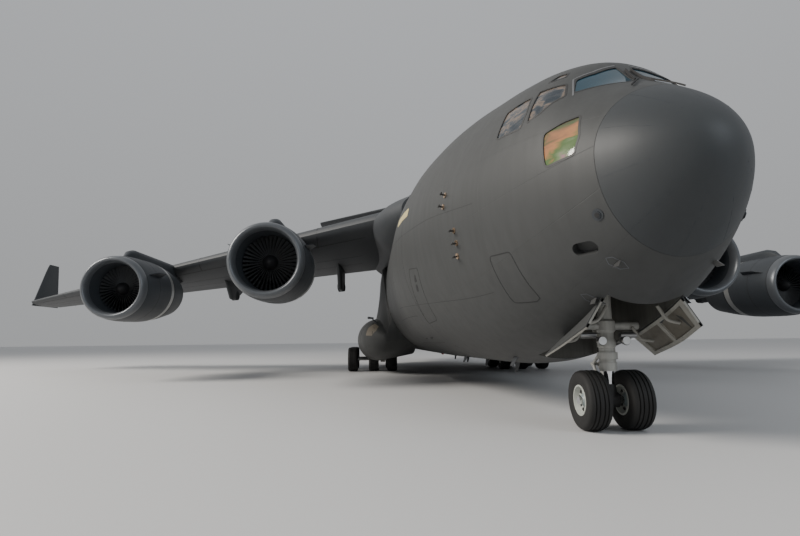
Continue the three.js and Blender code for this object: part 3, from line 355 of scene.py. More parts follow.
# %% The weathering group
def build_weathering():
    tree, given, out = new_group(
        "weathering",
        {"Colour": ("c", grey(0.2)), "Mottle": ("f", 0.15), "Streaks": ("f", 0.2), "Scale": ("f", 1.0),
         "Roughness": ("f", 0.5)},
        {"Colour": "c", "Roughness": "f", "Height": "f"},
    )
    coords = add_node(tree, "ShaderNodeTexCoord").outputs["Object"]
    wide = add_node(tree, "ShaderNodeTexNoise", {"Vector": coords, "Scale": 0.9, "Detail": 6.0,
        "Roughness": 0.6})
    fine = add_node(tree, "ShaderNodeTexNoise", {"Vector": coords, "Scale": 26.0, "Detail": 8.0,
        "Roughness": 0.7})
    long = add_node(tree, "ShaderNodeMapping", {"Vector": coords, "Scale": (5.0, 5.0, 0.45)})
    rain = add_node(tree, "ShaderNodeTexNoise", {"Vector": long.outputs[0], "Scale": 2.2, "Detail": 7.0})
    for noise in (wide, fine, rain):
        tree.links.new(maths(tree, "MULTIPLY", given["Scale"], noise.inputs["Scale"].default_value),
                       noise.inputs["Scale"])
    patches = maths(tree, "MULTIPLY_ADD", wide.outputs[0], 2.0, -1.0)
    grain = maths(tree, "MULTIPLY_ADD", fine.outputs[0], 2.0, -1.0)
    tone = maths(tree, "MULTIPLY", maths(tree, "MULTIPLY_ADD", grain, 0.35, patches), given["Mottle"])
    streak = maths(tree, "POWER", maths(tree, "MULTIPLY_ADD", rain.outputs[0], 1.9, -0.35, clamp=True), 1.6)
    soil = maths(tree, "MULTIPLY", streak, given["Streaks"])
    factor = maths(tree, "SUBTRACT", maths(tree, "ADD", tone, 1.0), soil)
    shade = add_node(tree, "ShaderNodeCombineColor", {0: factor, 1: factor, 2: factor}).outputs[0]
    tree.links.new(mix_colour(tree, 1.0, given["Colour"], shade, "MULTIPLY"), out["Colour"])
    rough = maths(tree, "MULTIPLY_ADD", tone, 0.5, given["Roughness"])
    tree.links.new(maths(tree, "ADD", rough, maths(tree, "MULTIPLY", soil, 0.25), clamp=True),
                   out["Roughness"])
    tree.links.new(fine.outputs[0], out["Height"])
    return tree


WEATHERING = build_weathering()
print(WEATHERING.name, len(WEATHERING.nodes), "nodes")

# %% [markdown]
# ## Panel seams
#
# The skin is riveted sheets with thin gaps. Cut as geometry they would cost many faces for a hairline, so
# this group draws them and tones each sheet.


# %% The panel seams group
def build_seams():
    """Seams across X at equal steps, and seams along X by the angle about a line at a height."""
    tree, given, out = new_group(
        "panel_seams",
        {"Colour": ("c", grey(0.2)), "Across": ("f", 1.1), "Along": ("f", 10.0), "Middle": ("f", 2.2),
         "Width": ("f", 0.004), "Dark": ("f", 0.5), "Patchwork": ("f", 0.1)},
        {"Colour": "c", "Seam": "f"},
    )
    coords = add_node(tree, "ShaderNodeTexCoord").outputs["Object"]
    place = add_node(tree, "ShaderNodeSeparateXYZ", {0: coords}).outputs
    height = maths(tree, "SUBTRACT", place[2], given["Middle"])
    turn = maths(tree, "MULTIPLY", maths(tree, "ARCTAN2", place[1], height), given["Along"])
    radius = maths(tree, "SQRT", maths(tree, "ADD", maths(tree, "MULTIPLY", place[1], place[1]),
                                       maths(tree, "MULTIPLY", height, height)))
    column = maths(tree, "DIVIDE", place[0], given["Across"])
    turn_row = maths(tree, "DIVIDE", turn, 2 * math.pi)
    lines = []
    for value, length in ((column, given["Across"]),
                          (turn_row, maths(tree, "DIVIDE", maths(tree, "MULTIPLY", radius, 2 * math.pi),
                                           given["Along"]))):
        share = maths(tree, "FRACT", value)
        gap = maths(tree, "MULTIPLY", maths(tree, "MINIMUM", share, maths(tree, "SUBTRACT", 1.0, share)),
                    length)
        lines.append(maths(tree, "SUBTRACT", 1.0, maths(tree, "DIVIDE", gap, given["Width"]), clamp=True))
    seam = maths(tree, "MAXIMUM", *lines)
    cell = add_node(tree, "ShaderNodeCombineXYZ", {0: maths(tree, "FLOOR", column),
        1: maths(tree, "FLOOR", turn_row)})
    chance = add_node(tree, "ShaderNodeTexWhiteNoise", {"Vector": cell.outputs[0]}, noise_dimensions="3D")
    tone = maths(tree, "MULTIPLY", maths(tree, "SUBTRACT", chance.outputs[0], 0.5), given["Patchwork"])
    factor = maths(tree, "MULTIPLY", maths(tree, "ADD", tone, 1.0),
                   maths(tree, "SUBTRACT", 1.0, maths(tree, "MULTIPLY", seam, given["Dark"])))
    shade = add_node(tree, "ShaderNodeCombineColor", {0: factor, 1: factor, 2: factor}).outputs[0]
    tree.links.new(mix_colour(tree, 1.0, given["Colour"], shade, "MULTIPLY"), out["Colour"])
    tree.links.new(seam, out["Seam"])
    return tree


SEAMS = build_seams()
print(SEAMS.name, len(SEAMS.nodes), "nodes")

# %% [markdown]
# ## Paints, metals and rubber
#
# Each finish is a colour with its own wear. One function places the groups, so a finish stays one line.


# %% Painted and plain finishes
def new_material(name, **plain):
    """A material with its shader's own sockets set, and the shader and tree for more."""
    material = bpy.data.materials.new(name)
    material.use_nodes = True
    tree = material.node_tree
    shader = tree.nodes["Principled BSDF"]
    for label, value in plain.items():
        shader.inputs[label.replace("_", " ")].default_value = value
    return material, tree, shader


def painted(name, colour, roughness=0.5, mottle=0.12, streaks=0.15, scale=1.0, seams=None, bump=0.0004,
            **plain):
    """Weathered paint, with panel seams where they are given."""
    material, tree, shader = new_material(name, **plain)
    age = add_node(tree, "ShaderNodeGroup", node_tree=WEATHERING)
    for label, value in (("Mottle", mottle), ("Streaks", streaks), ("Scale", scale),
                         ("Roughness", roughness)):
        age.inputs[label].default_value = value
    age.inputs["Colour"].default_value = (*colour, 1)
    height = maths(tree, "MULTIPLY", age.outputs["Height"], bump)
    if seams:
        grid = add_node(tree, "ShaderNodeGroup", {"Colour": age.outputs["Colour"]}, node_tree=SEAMS)
        for label, value in seams.items():
            grid.inputs[label].default_value = value
        tree.links.new(grid.outputs["Colour"], shader.inputs["Base Color"])
        height = maths(tree, "SUBTRACT", height, maths(tree, "MULTIPLY", grid.outputs["Seam"], 0.0015))
    else:
        tree.links.new(age.outputs["Colour"], shader.inputs["Base Color"])
    tree.links.new(age.outputs["Roughness"], shader.inputs["Roughness"])
    relief = add_node(tree, "ShaderNodeBump", {"Height": height, "Distance": 1.0, "Strength": 0.6})
    tree.links.new(relief.outputs[0], shader.inputs["Normal"])
    return material


SKIN_GREY = (0.047, 0.049, 0.049)
MATT = {"Specular_IOR_Level": 0.32}
skin_paint = painted("skin_paint", SKIN_GREY, 0.54, 0.1, 0.14,
                     seams={"Across": 1.28, "Along": 14.0, "Patchwork": 0.05, "Dark": 0.12, "Width": 0.003},
                     **MATT)
radome_paint = painted("radome_paint", (0.035, 0.039, 0.042), 0.5, 0.07, 0.06, **MATT)
# wing and tail paint: the skin's grey with a blue tint of painted sky light, as on a shaded underside
wing_paint_sky_tinted = painted("wing_paint_sky_tinted", (0.044, 0.048, 0.053), 0.56, 0.12, 0.05, **MATT)
# nacelle paint: darker and bluer than the skin's grey, painted shade with painted sky light
nacelle_paint_sky_shaded = painted("nacelle_paint_sky_shaded", (0.036, 0.041, 0.047), 0.5, 0.1, 0.1, **MATT)
lip_paint = painted("lip_paint", (0.1, 0.108, 0.118), 0.34, 0.12, 0.1, Metallic=0.3)
band_paint = painted("band_paint", (0.34, 0.34, 0.33), 0.34, 0.12, 0.1, Metallic=0.5)
# near-black: the skin's gaps and seams, and painted shade in holes, slots, recesses and deep inside the
# engines
dark_gap_and_shade = painted("dark_gap_and_shade", (0.012, 0.012, 0.013), 0.7, 0.2, 0.0)
gear_white = painted("gear_white", (0.4, 0.4, 0.375), 0.4, 0.12, 0.25, scale=3.0)
# the nose-gear bay's walls are dark: painted shade in the bay
bay_shade_paint = painted("bay_shade_paint", (0.09, 0.09, 0.082), 0.5, 0.2, 0.25, scale=3.0)
door_inside = painted("door_inside", (0.27, 0.265, 0.24), 0.5, 0.12, 0.2, scale=3.0)
door_panel = painted("door_panel", (0.12, 0.11, 0.09), 0.5, 0.15, 0.2, scale=3.0)
wheel_paint = painted("wheel_paint", (0.42, 0.44, 0.4), 0.4, 0.15, 0.25, scale=5.0)
hub_paint = painted("hub_paint", (0.2, 0.24, 0.24), 0.4, 0.15, 0.2, scale=5.0)
cabin_paint = painted("cabin_paint", (0.22, 0.23, 0.215), 0.6, 0.08, 0.05, scale=2.0)
floor_paint = painted("floor_paint", (0.12, 0.125, 0.125), 0.6, 0.25, 0.0, scale=2.0)
screen_black = painted("screen_black", (0.012, 0.014, 0.016), 0.2, 0.1, 0.0)
seat_cloth = painted("seat_cloth", (0.05, 0.06, 0.07), 0.9, 0.2, 0.0, scale=10.0)
primer = painted("primer", (0.15, 0.13, 0.1), 0.5, 0.15, 0.1, scale=3.0)
hose_black = painted("hose_black", (0.02, 0.02, 0.02), 0.6, 0.1, 0.0, scale=5.0)
steel = painted("steel", (0.3, 0.3, 0.3), 0.32, 0.15, 0.1, scale=4.0, Metallic=0.9)
chrome = painted("chrome", (0.75, 0.76, 0.78), 0.12, 0.03, 0.02, scale=4.0, Metallic=1.0)
fan_steel = painted("fan_steel", (0.13, 0.135, 0.14), 0.34, 0.12, 0.0, scale=3.0, Metallic=0.7)
spinner_black = painted("spinner_black", (0.006, 0.006, 0.007), 0.6, 0.2, 0.0, scale=3.0, **MATT)
burnt_metal = painted("burnt_metal", (0.16, 0.13, 0.11), 0.42, 0.3, 0.2, scale=2.0, Metallic=0.8)
rubber = painted("rubber", (0.006, 0.0058, 0.0056), 0.78, 0.25, 0.0, scale=6.0, bump=0.0012)
probe_brass = painted("probe_brass", (0.7, 0.5, 0.34), 0.2, 0.05, 0.0, scale=4.0, Metallic=0.9)
formation_strip = painted("formation_strip", (0.5, 0.42, 0.2), 0.4, 0.08, 0.1, scale=3.0)
red_lens = painted("red_lens", (0.5, 0.02, 0.015), 0.15, 0.05, 0.0)
green_lens = painted("green_lens", (0.01, 0.35, 0.08), 0.15, 0.05, 0.0)
white_lens = painted("white_lens", (0.75, 0.77, 0.78), 0.12, 0.05, 0.0)
print("finishes", len(bpy.data.materials))

# %% [markdown]
# ## Glass with painted reflections
#
# The panes' colours are painted reflections: soft bands that stand for what the glass mirrors. A ramp over
# slow noise draws them and bakes well.


# %% Glass
def glass_with_painted_reflections(name, colours, cloud, rise=0.0, aft=0.0, share=1.0):
    """Glass with painted reflections: soft colour bands that drift up and along the pane."""
    material, tree, shader = new_material(name, Roughness=0.05, Metallic=0.0, IOR=1.55,
        Transmission_Weight=0.15)
    coords = add_node(tree, "ShaderNodeTexCoord").outputs["Object"]
    long = add_node(tree, "ShaderNodeMapping", {"Vector": coords, "Rotation": (0.0, 0.5, 0.0),
        "Scale": (1.0, 1.0, 2.6)})
    haze = add_node(tree, "ShaderNodeTexNoise", {"Vector": long.outputs[0], "Scale": cloud, "Detail": 5.0,
        "Distortion": 0.5})
    place = add_node(tree, "ShaderNodeSeparateXYZ", {0: coords}).outputs
    up = maths(tree, "MULTIPLY", maths(tree, "SUBTRACT", place[2], 2.22), rise)
    back = maths(tree, "MULTIPLY", maths(tree, "SUBTRACT", 12.5, place[0]), aft)
    drift = maths(tree, "MULTIPLY", maths(tree, "SUBTRACT", haze.outputs[0], 0.5), share)
    where = maths(tree, "ADD", maths(tree, "ADD", up, back), maths(tree, "ADD", drift, 0.5), clamp=True)
    ramp = add_node(tree, "ShaderNodeValToRGB", {0: where})
    stops = ramp.color_ramp.elements
    while len(stops) < len(colours):
        stops.new(0.5)
    for stop, (share_at, colour) in zip(stops, colours):
        stop.position = share_at
        stop.color = (*colour, 1)
    tree.links.new(ramp.outputs[0], shader.inputs["Base Color"])
    return material


# the front panes' dark teal bands are painted reflection
front_glass = glass_with_painted_reflections("front_glass", [(0.3, (0.004, 0.025, 0.04)), (0.7, (0.008, 0.045, 0.07))], 2.0)
# the side panes' grey and warm bands are painted reflection
SIDE_REFLECTIONS = [(0.35, (0.015, 0.022, 0.03)), (0.5, (0.05, 0.055, 0.06)), (0.6, (0.17, 0.13, 0.1)),
             (0.75, (0.06, 0.055, 0.05))]
side_glass = glass_with_painted_reflections("side_glass", SIDE_REFLECTIONS, 5.0, share=1.6)
# the chin panes' pink, green and orange bands are painted reflection
CHIN_REFLECTIONS = [(0.1, (0.4, 0.2, 0.26)), (0.26, (0.2, 0.25, 0.14)), (0.4, (0.1, 0.16, 0.06)),
             (0.54, (0.42, 0.2, 0.09)), (0.66, (0.3, 0.15, 0.08)), (0.8, (0.08, 0.11, 0.05)),
             (0.95, (0.1, 0.05, 0.05))]
chin_glass = glass_with_painted_reflections("chin_glass", CHIN_REFLECTIONS, 4.0, rise=1.6, aft=0.7, share=0.9)
print("glass", front_glass.name, side_glass.name, chin_glass.name)

# %% [markdown]
# ## The fuselage's surface
#
# The body is one smooth tube. A subdivided cage could give it, but a rule also tells where a window or a
# probe lies. One table of sections gives the whole body. Between its rows every column runs along a smooth
# curve, counted by the square root of the station so that the nose comes out round. The section is a
# superellipse. A place on it is a station and the degrees up from the widest line on the starboard side.

# %% Sections
# station, half width, bottom, top, height of the widest line, upper and lower roundness
FUSELAGE = np.array([
    [0, 0.0, 3.92, 3.92, 3.92, 2.0, 2.0],
    [0.2, 0.51, 3.34, 4.42, 3.93, 2.0, 2.0],
    [0.6, 0.9, 2.88, 4.82, 3.96, 2.0, 2.0],
    [1.05, 1.19, 2.53, 5.15, 4.0, 1.95, 2.0],
    [1.6, 1.47, 2.21, 5.52, 4.04, 2.03, 2.0],
    [2.3, 1.77, 1.89, 6.2, 4.08, 1.98, 2.0],
    [3.0, 2.02, 1.66, 6.55, 4.13, 1.92, 2.0],
    [4.0, 2.32, 1.37, 6.93, 4.2, 1.8, 2.0],
    [5.0, 2.57, 1.18, 7.23, 4.28, 1.76, 2.0],
    [6.2, 2.84, 1.03, 7.48, 4.36, 1.85, 2.0],
    [7.6, 3.08, 0.96, 7.69, 4.38, 1.93, 2.05],
    [9.2, 3.3, 0.95, 7.79, 4.38, 2.0, 2.15],
    [11.2, 3.43, 0.95, 7.81, 4.38, 2.0, 2.3],
    [13.8, 3.43, 0.95, 7.81, 4.38, 2.0, 2.6],
    [30.2, 3.43, 0.97, 7.81, 4.38, 2.0, 2.6],
    [33.0, 3.38, 1.6, 7.81, 4.65, 2.0, 2.6],
    [36.4, 3.12, 2.75, 7.8, 5.1, 2.0, 2.5],
    [39.0, 2.72, 3.65, 7.78, 5.55, 2.0, 2.4],
    [41.8, 2.14, 4.62, 7.72, 6.05, 2.0, 2.2],
    [45.0, 1.38, 5.6, 7.58, 6.52, 2.0, 2.0],
    [47.4, 0.72, 6.25, 7.38, 6.82, 2.0, 2.0],
    [48.5, 0.2, 6.68, 7.12, 6.9, 2.0, 2.0],
])
WALL = 0.18
THIN = 0.004


def skin_at(stations, degrees, inset=0.0):
    """Points of the skin: stations and degrees up on the starboard side, in the model's metres."""
    stations, degrees = np.broadcast_arrays(np.asarray(stations, float), np.asarray(degrees, float))
    flat = stations.ravel().clip(0, FUSELAGE[-1, 0])
    rows = monotone(np.sqrt(FUSELAGE[:, 0]), FUSELAGE[:, 1:], np.sqrt(flat))
    half, low, high, wide, upper, lower = rows.T
    turn = np.radians(degrees.ravel())
    up, across = np.sin(turn), np.cos(turn)
    power = 2 / np.where(up >= 0, upper, lower)
    reach = np.where(up >= 0, high - wide, wide - low) - inset
    span = -(half - inset).clip(THIN) * np.sign(across) * np.abs(across) ** power
    rise = reach.clip(THIN) * np.sign(up) * np.abs(up) ** power
    return np.stack([(LENGTH / 2 - flat) * HALF, span * HALF, (wide + rise) * HALF],
                    1).reshape(*stations.shape, 3)


def skin_normal(stations, degrees):
    """Outward directions of the skin."""
    stations, degrees = np.asarray(stations, float), np.asarray(degrees, float)
    along = skin_at(stations + 0.02, degrees) - skin_at(np.maximum(stations - 0.02, 0), degrees)
    around = skin_at(stations, degrees + 0.4) - skin_at(stations, degrees - 0.4)
    normal = np.cross(around, along)
    return normal / np.linalg.norm(normal, axis=-1, keepdims=True)


def degrees_at(station, height):
    """Degrees up on the skin at a station and a height, both full size."""
    _, low, high, wide, upper, lower = monotone(np.sqrt(FUSELAGE[:, 0]), FUSELAGE[:, 1:],
        [math.sqrt(station)])[0]
    share = (height - wide) / (high - wide) if height >= wide else (height - wide) / (wide - low)
    share = max(-1.0, min(1.0, share))
    power = (upper if share >= 0 else lower) / 2
    return math.degrees(math.asin(math.copysign(abs(share) ** power, share)))


print("widest place of the skin", skin_at(13.8, 0))

# %% [markdown]
# ## Things that lie on the skin
#
# Doors, hatches, panes and seams follow the skin's curve. `drape` lays a flat outline of stations and
# degrees over it as a closed plate. The outline is cut into small cells first, because a large flat face
# can't bend. `strip` runs a narrow band along a line on any surface.


# %% Rounded outlines and draped plates
def rounded(corners, share=0.2, steps=5):
    """An outline with each corner replaced by a curve that starts a share of its sides away."""
    corners = np.asarray(corners, float)
    out = []
    for i, corner in enumerate(corners):
        before, after = corners[i - 1], corners[(i + 1) % len(corners)]
        start, end = corner + (before - corner) * share, corner + (after - corner) * share
        for t in np.linspace(0, 1, steps):
            out.append((1 - t) ** 2 * start + 2 * t * (1 - t) * corner + t * t * end)
    return np.array(out)


def grown(outline, share):
    """An outline swollen about its middle."""
    outline = np.asarray(outline, float)
    middle = outline.mean(0)
    return middle + (outline - middle) * share


def drape(outline, low, high, cell=(0.1, 3.0)):
    """A closed plate over the skin inside an outline, between two full-size heights above the skin."""
    outline = np.asarray(outline, float)
    squash = 0.05
    bm = bmesh.new()
    bm.faces.new([bm.verts.new((s, d * squash, 0)) for s, d in outline])
    for axis, size in ((0, cell[0]), (1, cell[1] * squash)):
        values = [v.co[axis] for v in bm.verts]
        for k in range(math.floor(min(values) / size) + 1, math.ceil(max(values) / size)):
            co, no = Vector((0, 0, 0)), Vector((0, 0, 0))
            co[axis], no[axis] = k * size, 1
            bmesh.ops.bisect_plane(bm, geom=bm.verts[:] + bm.edges[:] + bm.faces[:], plane_co=co,
                plane_no=no)
    bm.verts.index_update()
    places = np.array([v.co for v in bm.verts])
    stations, degrees = places[:, 0], places[:, 1] / squash
    ground, normal = skin_at(stations, degrees), skin_normal(stations, degrees)
    count = len(places)
    points = np.concatenate([ground + normal * high * HALF, ground + normal * low * HALF])
    faces = [tuple(v.index for v in f.verts) for f in bm.faces]
    faces += [tuple(i + count for i in f[::-1]) for f in faces]
    faces += [(e.verts[0].index, e.verts[1].index, e.verts[1].index + count, e.verts[0].index + count)
              for e in bm.edges if len(e.link_faces) == 1]
    bm.free()
    return points, faces


print("points of a rounded square", len(rounded([(0, 0), (1, 0), (1, 1), (0, 1)])))


# %% Strips along a line
def strip(points, normals, width, low, high, loop=False):
    """A band of a full-size width along a line, between two full-size heights above its surface."""
    points, normals = np.asarray(points, float), np.asarray(normals, float)
    if loop:
        way = np.roll(points, -1, axis=0) - np.roll(points, 1, axis=0)
    else:
        way = np.gradient(points, axis=0)
    side = np.cross(normals, way)
    side *= (width / 2 * HALF) / np.linalg.norm(side, axis=1)[:, None]
    up = normals * HALF
    rings = np.stack([points - side + up * low, points + side + up * low,
                      points + side + up * high, points - side + up * high], 1)
    return tube(rings, loop=loop)


def skin_strip(path, width, low=-0.01, high=0.003, loop=False, step=0.12):
    """A band on the skin along a path of (station, degrees) corners."""
    path = np.asarray(path, float)
    if loop:
        path = np.concatenate([path, path[:1]])
    legs = np.diff(path, axis=0)
    far = np.hypot(legs[:, 0], legs[:, 1] * 0.05)
    line = []
    for start, leg, length in zip(path, legs, far):
        count = max(1, int(length / step))
        line += [start + leg * k / count for k in range(count)]
    if not loop:
        line.append(path[-1])
    line = np.array(line)
    return strip(skin_at(*line.T), skin_normal(*line.T), width, low, high, loop)


def heights_path(points):
    """A path of (station, height) corners as (station, degrees), on the starboard side."""
    return [(s, degrees_at(s, z)) for s, z in points]


print("degrees up at station 9", heights_path([(9, 3), (9, 6)]))

# %% [markdown]
# ## Repeats by rule
#
# Rollers, wheel bolts, fan blades and static wicks come in rows or rings. They could be copied by a loop.
# One Geometry Nodes tree does it here, so that a count or a step is a named input. It puts a part on points
# that step along a line, and turns each a little further about the X axis.


# %% A tree for rows and rings
def build_repeat():
    tree = bpy.data.node_groups.new("rows_and_rings", "GeometryNodeTree")
    kinds = {"Geometry": "Geometry", "Part": "Object", "Count": "Int", "Step": "Vector", "Turn": "Float",
             "Material": "Material"}
    for label, kind in kinds.items():
        tree.interface.new_socket(label, in_out="INPUT", socket_type=f"NodeSocket{kind}")
    tree.interface.new_socket("Geometry", in_out="OUTPUT", socket_type="NodeSocketGeometry")
    given, out = tree.nodes.new("NodeGroupInput").outputs, tree.nodes.new("NodeGroupOutput").inputs
    index = add_node(tree, "GeometryNodeInputIndex").outputs[0]
    place = add_node(tree, "ShaderNodeVectorMath", {0: given["Step"], "Scale": index}, operation="SCALE")
    points = add_node(tree, "GeometryNodePoints", {"Count": given["Count"], "Position": place.outputs[0]})
    angle = maths(tree, "MULTIPLY", index, given["Turn"])
    turn = add_node(tree, "ShaderNodeCombineXYZ", {0: angle})
    part = add_node(tree, "GeometryNodeObjectInfo", {"Object": given["Part"]})
    copies = add_node(tree, "GeometryNodeInstanceOnPoints", {"Points": points.outputs[0],
                      "Instance": part.outputs["Geometry"], "Rotation": turn.outputs[0]})
    real = add_node(tree, "GeometryNodeRealizeInstances", {0: copies.outputs[0]})
    done = add_node(tree, "GeometryNodeSetMaterial", {"Geometry": real.outputs[0],
        "Material": given["Material"]})
    tree.links.new(done.outputs[0], out[0])
    return tree


REPEAT = build_repeat()


def repeated(name, shape, count, material, step=(0, 0, 0), turn=0.0, places=None, body="airframe", **how):
    """Copies of a shape in a row or a ring, the whole moved by each of several matrices."""
    part = mesh_object(f"{name}_part", shape)
    host = mesh_object(f"{name}_host", ([], []))
    modifier = host.modifiers.new("repeat", "NODES")
    modifier.node_group = REPEAT
    wanted = {"Part": part, "Count": count, "Step": Vector(step), "Turn": turn, "Material": material}
    for socket in REPEAT.interface.items_tree:
        if socket.in_out == "INPUT" and socket.name in wanted:
            modifier[socket.identifier] = wanted[socket.name]
    apply_modifiers(host)
    points = np.array([v.co for v in host.data.vertices])
    faces = [tuple(f.vertices) for f in host.data.polygons]
    for thing in (host, part):
        bpy.data.objects.remove(thing)
    shapes = [moved((points, faces), m) for m in (places or [Matrix()])]
    return piece(name, shapes, material, body, **how)


print(REPEAT.name, len(REPEAT.nodes), "nodes")

# %% [markdown]
# ## The fuselage
#
# The real body is barrels joined end to end: radome, forward, centre and aft. Modelled one by one they would
# show steps where they meet, so each is cut from the one surface, and all but the solid radome are hollow
# shells.

# %% Radome
RADOME_AFT, FORWARD_AFT, CENTRE_AFT = 0.92, 14.0, 30.0
NOSE_BAY = {"forward": 1.9, "aft": 5.2, "half": 0.6, "top": 3.3}
FULL_TURN = 360 * np.arange(144) / 144


def spaced(start, end, count):
    """Stations that crowd towards the nose."""
    return np.linspace(math.sqrt(start), math.sqrt(end), count) ** 2


def fuselage_solid(start, end, count, inset=0.0, around=FULL_TURN):
    return tube([skin_at(s, around, inset) for s in spaced(start, end, count)])


def side_prism(outline, low, high):
    """A prism across the aircraft: (station, height) corners between two spans."""
    return tube([[at(s, span, z) for s, z in outline] for span in (low, high)])


def plan_prism(outline, low, high):
    """A prism whose outline is (station, half span), the same on both sides, between two heights."""
    around = [(s, y) for s, y in outline] + [(s, -y) for s, y in reversed(outline)]
    return tube([[at(s, y, z) for s, y in around] for z in (low, high)])


piece("radome", fuselage_solid(0.0002, RADOME_AFT - 0.004, 34), radome_paint, replaces=["radome"])
piece("radome_seam", fuselage_solid(RADOME_AFT - 0.03, RADOME_AFT + 0.03, 4, 0.012), dark_gap_and_shade)
diverters = [skin_strip([(RADOME_AFT - 0.03, d), (0.5, d), (0.22, d)], 0.006, -0.01, 0.002)
             for d in range(-85, 275, 36)]
piece("diverter_strips", diverters, nacelle_paint_sky_shaded)
tell("radome")

# %% [markdown]
# ## Openings in the skin
#
# Windows, a door and a wheel bay interrupt the nose. Faces could be modelled around each hole, but a cut
# keeps the skin's curve.

# %% Forward skin with its openings
PANES = {
    "front": [[1.52, 86.5], [1.42, 79], [1.8, 52], [2.02, 60.5], [1.97, 72], [2.03, 86.5]],
    "side": [[2.32, 28.5], [2.44, 39], [2.55, 48.7], [2.29, 51], [2.06, 55.9], [1.87, 48.7], [1.99, 41.4],
             [2.1, 34]],
    "rear": [[3.15, 25], [3.22, 33], [3.3, 40.3], [3.0, 43.2], [2.66, 45.7], [2.47, 34.8], [2.44, 26.1]],
    "eyebrow": [[2.59, 55.8], [2.55, 61.8], [2.36, 64.7], [2.27, 60.4], [2.45, 56.5]],
    "chin": [[1.31, 35.5], [1.17, 19], [1.2, 5.5], [1.7, 2], [1.84, 22.1], [1.57, 30]],
}
CREW_DOOR = {"from": 7.7, "to": 8.6, "sill": 1.98, "head": 3.55, "degrees": -41.5}

forward = mesh_object("forward_skin", fuselage_solid(RADOME_AFT, FORWARD_AFT, 70))
cut(forward, fuselage_solid(RADOME_AFT + 0.1, FORWARD_AFT + 0.3, 30, WALL, FULL_TURN[::2]))
bay = NOSE_BAY
bay_cut = placed_box([bay["forward"], bay["aft"]], [-bay["half"], bay["half"]], [0, bay["top"]])
cut(forward, bay_cut)
pane_outlines = {name: rounded(corners, 0.16) for name, corners in PANES.items()}
for outline in pane_outlines.values():
    hole = drape(outline, -0.42, 0.1)
    cut(forward, hole)
    cut(forward, mirrored(hole))
# an oval pocket for a light, on the starboard side alone
turn = np.linspace(0, 2 * math.pi, 28, endpoint=False)
pocket = [(1.52 + 0.1 * c + math.copysign(0.08, c), 2.84 - 0.02 * c + 0.085 * s)
          for c, s in zip(np.cos(turn), np.sin(turn))]
cut(forward, drape(heights_path(pocket), -0.13, 0.05, (0.05, 2)))
door_box = placed_box([CREW_DOOR["from"] - 0.016, CREW_DOOR["to"] + 0.016], [1.2, 4],
                      [CREW_DOOR["sill"] - 0.06, CREW_DOOR["head"] + 0.016])
cut(forward, door_box)
finish(forward, skin_paint, replaces=["fuselage_forward"], slot="airframe_grey")
tell("forward skin")

# %% Nose-gear bay and crew door
wall = 0.06
bay_walls = mesh_object("nose_bay", placed_box(
    [bay["forward"] - wall, bay["aft"] + wall], [-bay["half"] - wall, bay["half"] + wall],
    [1.0, bay["top"] + wall]))
lining = 0.014
cut(bay_walls, placed_box([bay["forward"] + lining, bay["aft"] - lining],
                          [lining - bay["half"], bay["half"] - lining],
                          [0, bay["top"] - lining]))
cut(bay_walls, fuselage_solid(1.2, 7, 20, 0.012), "INTERSECT")
# the bay's walls take painted shade
finish(bay_walls, bay_shade_paint)

door = mesh_object("crew_door", fuselage_solid(7.2, 9.1, 8))
cut(door, fuselage_solid(7.0, 9.3, 8, WALL - 0.04))
cut(door, placed_box([CREW_DOOR["from"], CREW_DOOR["to"]], [1.2, 4],
                     [CREW_DOOR["sill"] + 0.02, CREW_DOOR["head"]]), "INTERSECT")
finish(door, skin_paint, "crew_door", replaces=["crew_door"], slot="airframe_grey")
tell("bay and door")

# %% Centre and aft stretches
centre = mesh_object("centre_skin", fuselage_solid(FORWARD_AFT + 0.002, CENTRE_AFT, 30))
cut(centre, fuselage_solid(FORWARD_AFT - 0.3, CENTRE_AFT + 0.3, 12, WALL, FULL_TURN[::2]))
finish(centre, skin_paint, replaces=["fuselage_centre"], slot="airframe_grey")

RAMP_AFT, CARGO_DOOR_AFT = 36.35, 41.6
opening = plan_prism([[29.5, 2.416], [RAMP_AFT, 2.316], [CARGO_DOOR_AFT + 0.016, 0.816]], 0, 5.3)
aft = mesh_object("aft_skin", fuselage_solid(CENTRE_AFT + 0.002, 48.5, 44))
cut(aft, fuselage_solid(CENTRE_AFT - 0.3, 46.6, 24, WALL, FULL_TURN[::2]))
cut(aft, opening)
finish(aft, skin_paint, replaces=["fuselage_aft"], slot="airframe_grey")
tell("centre and aft skin")

# %% Ramp and cargo door
ramp = mesh_object("ramp", fuselage_solid(29, RAMP_AFT + 1, 20))
lip = [[RAMP_AFT - 0.25, 3.05], [RAMP_AFT, 2.7], [RAMP_AFT, 0]]
cut(ramp, side_prism([[30.06, 0], [30.06, 1.63], *lip], -3, 3), "INTERSECT")
cut(ramp, plan_prism([[30.06, 2.4], [RAMP_AFT, 2.3]], 0, 6), "INTERSECT")
finish(ramp, skin_paint, "cargo_ramp", replaces=["cargo_ramp"], slot="airframe_grey")
cargo_door = mesh_object("cargo_door", fuselage_solid(RAMP_AFT - 0.5, 45, 24))
cut(cargo_door, fuselage_solid(RAMP_AFT - 1, 46, 24, 0.22))
cut(cargo_door, plan_prism([[RAMP_AFT + 0.03, 2.3], [CARGO_DOOR_AFT, 0.8]], 0, 6), "INTERSECT")
rear = CARGO_DOOR_AFT
slant = [[RAMP_AFT, 0], [rear, 0], [rear, 4.72], [rear - 0.4, 5.32], [RAMP_AFT, 5.32]]
cut(cargo_door, side_prism(slant, -3, 3), "INTERSECT")
finish(cargo_door, skin_paint, "cargo_door", replaces=["cargo_door"], slot="airframe_grey")
tell("ramp and cargo door")

# %% [markdown]
# ## The hold's floor
#
# Freight rolls over four lanes of rollers and is tied to rings. They show when the rear doors open, so each
# has few faces and the tree repeats it.

